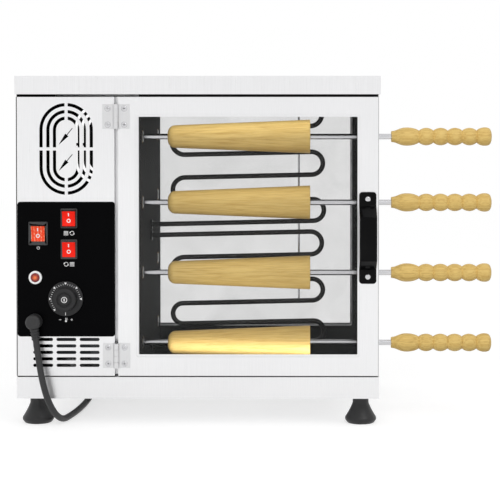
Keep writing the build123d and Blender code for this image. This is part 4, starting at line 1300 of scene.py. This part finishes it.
class GRILL_OT_pilot_lamp(bpy.types.Operator):
    """Make the pilot lamp's ring and lens"""
    bl_idname = "grill.pilot_lamp"
    bl_label = "Pilot lamp"

    body_radius = 8.2
    body_depth = 16.0
    ring_radius = 10.3
    ring_height = 3.0
    ring_round = 1.2
    opening = 7.1
    opening_round = 0.6
    seat = 0.05
    lens_radius = 6.9
    lens_height = 5.4

    def execute(self, context):
        centre = middle("pilot_lamp_bezel")
        place = facing(centre.x, plate_front, centre.z)
        self.make_round("pilot_lamp_ring", "lamp_ring", "pilot_lamp_bezel", self.ring(), place)
        lens = Profile([(0.1, 0), (0.1, self.lens_radius), (self.ring_height, self.lens_radius)])
        lens.curve((4.4, 6.0), (self.lens_height, 3.4), (self.lens_height, 0), 10)
        self.make_round("pilot_lamp_dome", "lamp_lens", "pilot_lamp_lens", lens, place)
        return {"FINISHED"}

    def ring(self):
        """Body behind the plate, and the ring with its rounded rim and opening."""
        top, seat = self.ring_height, self.seat
        ring = Profile([(-self.body_depth, 0), (-self.body_depth, self.body_radius),
                        (-seat, self.body_radius), (-seat, self.ring_radius),
                        (top - self.ring_round, self.ring_radius)])
        ring.round((top, self.ring_radius), (top, self.ring_radius - self.ring_round), 4)
        ring += [(top, self.opening + self.opening_round)]
        ring.round((top, self.opening), (top - self.opening_round, self.opening), 3)
        return ring + [(seat, self.opening), (seat, 0)]

    def make_round(self, name, slot, node, profile, place):
        mesh = bmesh.new()
        spun(mesh, profile, place, rounds=48)
        piece(name, mesh, slot, "cabinet", node)


class GRILL_OT_knob(bpy.types.Operator):
    """Make the thermostat knob with its printed scale"""
    bl_idname = "grill.knob"
    bl_label = "Thermostat knob"

    gap = 0.8
    skirt_height = 3.5
    skirt_radius = 27.0
    grip_radius = 18.75
    grip_height = 15.0
    ring_outer, ring_inner = 11.3, 9.3
    ring_depth = 2.0
    boss_radius = 5.6
    boss_sink = 0.5
    bore = 3.1
    bore_depth = 14.1
    scale_angles = (-135, -90, -45, 0, 45, 90)
    ticks_between = 5
    tick_reach, tick = 22.3, (0.45, 2.2)
    wedge_tip, wedge_base, wedge_half = 21.6, 25.2, 1.9
    pointer_reach, pointer = 23.2, (0.9, 4.4)
    boss_circle = (4.2, 0.9)
    boss_stroke = (1.5, 4.6)

    def execute(self, context):
        centre = middle("thermostat_knob")
        self.place = facing(centre.x, plate_front, centre.z)
        self.skirt_front = self.gap + self.skirt_height
        mesh = bmesh.new()
        spun(mesh, self.profile(), self.place, rounds=96)
        piece("dial_knob", mesh, "knob_black", "thermostat_dial", "thermostat_knob")
        self.make_scale()
        return {"FINISHED"}

    def profile(self):
        """Shaft bore, skirt, tapered grip, and a sunken ring round the centre boss."""
        skirt, top = self.skirt_front, self.skirt_front + self.grip_height
        radius, grip = self.skirt_radius, self.grip_radius
        profile = Profile([(self.bore_depth, 0), (self.bore_depth, self.bore), (self.gap, self.bore),
                           (self.gap, radius - 0.7)])
        profile.round((self.gap, radius), (self.gap + 0.7, radius), 3)
        profile += [(skirt - 1.2, radius)]
        profile.round((skirt, radius), (skirt, radius - 1.2), 4)
        profile += [(skirt, grip + 0.8)]
        profile.round((skirt, grip), (skirt + 0.8, grip - 0.1), 4)
        profile += [(top - 1.6, grip - 0.9)]
        profile.round((top, grip - 1.0), (top, grip - 2.8), 6)
        outer, inner, floor = self.ring_outer, self.ring_inner, top - self.ring_depth
        profile += [(top, outer + 0.6)]
        profile.round((top - 0.1, outer), (floor, outer - 0.4), 4)
        profile += [(floor, inner + 0.3)]
        profile.round((top - 0.2, inner), (top, inner - 0.9), 4)
        sunk = top - self.boss_sink
        profile += [(top, self.boss_radius), (sunk, self.boss_radius - 0.4), (sunk, 0)]
        return profile

    def make_scale(self):
        """Triangles for the main steps, fine ticks between them, and the pointer's marks."""
        mesh = bmesh.new()
        with set_at(mesh, self.place @ Matrix.Translation((0, 0, self.skirt_front))):
            with printed(mesh):
                for start, stop in zip(self.scale_angles, self.scale_angles[1:]):
                    for i in range(1, self.ticks_between):
                        angle = start + (stop - start) * i / self.ticks_between
                        bar(mesh, 0, self.tick_reach, *self.tick, angle, 1)
                for angle in self.scale_angles:
                    with set_at(mesh, Matrix.Rotation(math.radians(-angle), 4, "Z")):
                        patch(mesh, (-self.wedge_half, self.wedge_base), (0, self.wedge_tip),
                              (self.wedge_half, self.wedge_base))
                bar(mesh, 0, -self.pointer_reach, *self.pointer)
        boss_front = self.skirt_front + self.grip_height - self.boss_sink
        with set_at(mesh, self.place @ Matrix.Translation((0, 0, boss_front))):
            with printed(mesh):
                ring_mark(mesh, 0, 0, *self.boss_circle)
                bar(mesh, 0, 0, *self.boss_stroke)
        piece("dial_scale", mesh, "lamp_ring", "thermostat_dial")


def ribbed(length, bore, tip, root, ribs, socket=6.0, chamfer=0.3, groove=1.1):
    """Profile of a bend relief that points down its own Z: ribs that taper towards the lead."""
    pitch = length / ribs
    profile = [(length, 0), (socket, 0), (socket, bore), (0, bore)]
    for i in range(ribs):
        radius = tip + (root - tip) * (i + 0.5) / ribs
        start = i * pitch
        profile += [(start, radius - chamfer), (start + chamfer, radius), (start + pitch * 0.62, radius),
                    (start + pitch * 0.7, radius - groove), (start + pitch * 0.96, radius - groove)]
    profile += [(length, root)]
    return profile + [(length, 0)]


class GRILL_OT_gland(bpy.types.Operator):
    """Make the right-angled gland, its nut and its ribbed bend relief"""
    bl_idname = "grill.gland"
    bl_label = "Cable gland"

    head_radius = 12.0
    head_round = 5.5
    body_radius = 8.0
    body_depth = 14.0
    seat = 0.05
    groove = ((0.0, -0.4), (0.4, 0.0), (4.0, 0.0), (4.4, -0.7), (5.2, -0.7), (5.6, 0.0))
    nut = ((-3.6, 8.2), (-3.6, 12.0), (-8.4, 12.0), (-8.4, 8.2))
    relief_length = 27.0
    relief_hidden = 5.0
    relief_lean = 8.0
    lead_reach = 14.0

    def execute(self, context):
        x = (low("cable_gland").x + high("cable_gland").x) / 2
        z = high("cable_gland").z - self.head_radius
        reach = plate_front - low("cable_gland").y
        place = facing(x, plate_front, z)
        profile = Profile([(-self.body_depth, 0), (-self.body_depth, self.body_radius),
                           (-self.seat, self.body_radius)])
        profile += [(along, self.head_radius + step) for along, step in self.groove]
        profile.append((reach - self.head_round, self.head_radius))
        profile.round((reach, self.head_radius), (reach, self.head_radius - self.head_round), 8)
        profile += [(reach, 0)]
        mesh = bmesh.new()
        spun(mesh, profile, place)
        spun(mesh, self.nut, place, rounds=6, ring=True)
        lean = math.radians(self.relief_lean)
        way = Vector((math.sin(lean), 0, -math.cos(lean)))
        start = Vector((x, plate_front - self.lead_reach, z)) + way * self.relief_length
        relief = ribbed(self.relief_length - self.relief_hidden, bore=5.05, tip=6.2, root=7.4, ribs=5)
        spun(mesh, relief, facing(*start, -way))
        piece("cable_gland_head", mesh, "cord_rubber", "cabinet", "cable_gland")
        return {"FINISHED"}


class GRILL_OT_plate_symbols(bpy.types.Operator):
    """Print the plain symbols by the controls, and the darts in the ring vent"""
    bl_idname = "grill.plate_symbols"
    bl_label = "Printed symbols"

    power_drop = 4.2
    turn_drop = 8.0
    heat_drop = 6.0
    upper_turn_z = 300.0
    half_pair = 4.6
    dart_x = 77.7
    dart_z = 430.3
    dart_pitch = 40.3
    dart_tip, dart_tail = (-11.7, 6.2), (9.6, 32.0)
    dart_barb_at = 0.6
    dart_barb = 3.3
    dart_shaft = 0.6

    def execute(self, context):
        knob = middle("thermostat_knob")
        turn = middle("rotation_switch_housings")
        lower_turn_z = low("rotation_switch_housings").z - self.turn_drop
        mesh = bmesh.new()
        power_z = low("power_switch_housing").z - self.power_drop
        with self.on_plate(mesh, middle("power_switch_housing").x, power_z):
            self.power_sign(mesh)
        for z, side in ((self.upper_turn_z, -1), (lower_turn_z, 1)):
            with self.on_plate(mesh, turn.x, z):
                self.turning_sign(mesh, side)
        with self.on_plate(mesh, knob.x, low("thermostat_knob").z - self.heat_drop):
            self.heat_sign(mesh)
        piece("plate_symbols", mesh, "lamp_ring", "cabinet")
        self.make_darts()
        return {"FINISHED"}

    @contextmanager
    def on_plate(self, mesh, x, z):
        with set_at(mesh, facing(x, plate_front, z)):
            with printed(mesh):
                yield

    def power_sign(self, mesh):
        """A ring open at the top, with a bar in the gap."""
        ring_mark(mesh, 0, 0, radius=2.1, width=0.6, start=125.0, sweep=290.0)
        bar(mesh, 0, 1.5, width=0.6, height=2.4)

    def turning_sign(self, mesh, side):
        """Two arrows that turn round, and a column of rolls on one side of them."""
        sweep = 130.0
        with set_at(mesh, Matrix.Translation((-side * self.half_pair, 0, 0))):
            for start in (20.0, 200.0):
                ring_mark(mesh, 0, 0, radius=3.0, width=0.7, start=start, sweep=sweep, steps=16)
                with set_at(mesh, Matrix.Rotation(math.radians(start + sweep), 4, "Z")):
                    patch(mesh, (1.7, 0), (4.3, 0), (3.0, 2.2))
        for i in range(roll_count):
            bar(mesh, side * self.half_pair, 2.7 - 1.8 * i, width=7.0, height=0.8)

    def heat_sign(self, mesh):
        """A thermometer between a minus and a plus."""
        ring_mark(mesh, 0, -1.9, radius=0.75, width=1.5)
        bar(mesh, 0, 1.0, width=1.1, height=4.4)
        for i in range(3):
            bar(mesh, 2.0, 2.6 - 1.3 * i, width=1.2, height=0.4)
        for x, width, height in ((-9.0, 3.4, 0.7), (9.0, 3.4, 0.7), (9.0, 0.7, 3.4)):
            bar(mesh, x, 0.2, width, height)

    def make_darts(self):
        """Two darts, one above the other, that point down to the left."""
        tip, tail = Vector(self.dart_tip), Vector(self.dart_tail)
        way = (tail - tip).normalized()
        side = Vector((-way.y, way.x))
        wide, thin = side * self.dart_barb, side * self.dart_shaft
        barb = tip.lerp(tail, self.dart_barb_at)
        corners = [tip, barb + wide, barb + thin, tail + thin, tail - thin, barb - thin, barb - wide]
        mesh = bmesh.new()
        with set_at(mesh, facing(low("front_control_panel").x + self.dart_x, front, self.dart_z)):
            with printed(mesh):
                for drop in (0, self.dart_pitch):
                    patch(mesh, *[(point.x, point.y - drop) for point in corners])
        piece("vent_darts", mesh, "black_plate", "cabinet")


# The add-on's panel and its start

class GRILL_PT_panel(bpy.types.Panel):
    """Lists the grill's pieces"""
    bl_label = "Chimney cake grill"
    bl_space_type = "VIEW_3D"
    bl_region_type = "UI"
    bl_category = "Grill"

    def draw(self, context):
        for maker in makers:
            self.layout.operator(maker.bl_idname)


makers = (
    GRILL_OT_stage,
    GRILL_OT_finishes,
    GRILL_OT_mains_lead,
    GRILL_OT_rolls,
    GRILL_OT_grips,
    GRILL_OT_feet,
    GRILL_OT_handles,
    GRILL_OT_screws,
    GRILL_OT_switches,
    GRILL_OT_pilot_lamp,
    GRILL_OT_knob,
    GRILL_OT_gland,
    GRILL_OT_plate_symbols,
)
settings = {
    "grill_studio": GrillStudio,
    "grill_colours": GrillColours,
    "grill_sizes": GrillSizes,
}
classes = (*settings.values(), *makers, GRILL_PT_panel)


def register():
    for made in classes:
        bpy.utils.register_class(made)
    for name, group in settings.items():
        setattr(bpy.types.Scene, name, PointerProperty(type=group))


def unregister():
    for name in settings:
        delattr(bpy.types.Scene, name)
    for made in reversed(classes):
        bpy.utils.unregister_class(made)


def main():
    register()
    for maker in makers:
        group, name = maker.bl_idname.split(".")
        getattr(getattr(bpy.ops, group), name)()


if __name__ == "__main__":
    main()
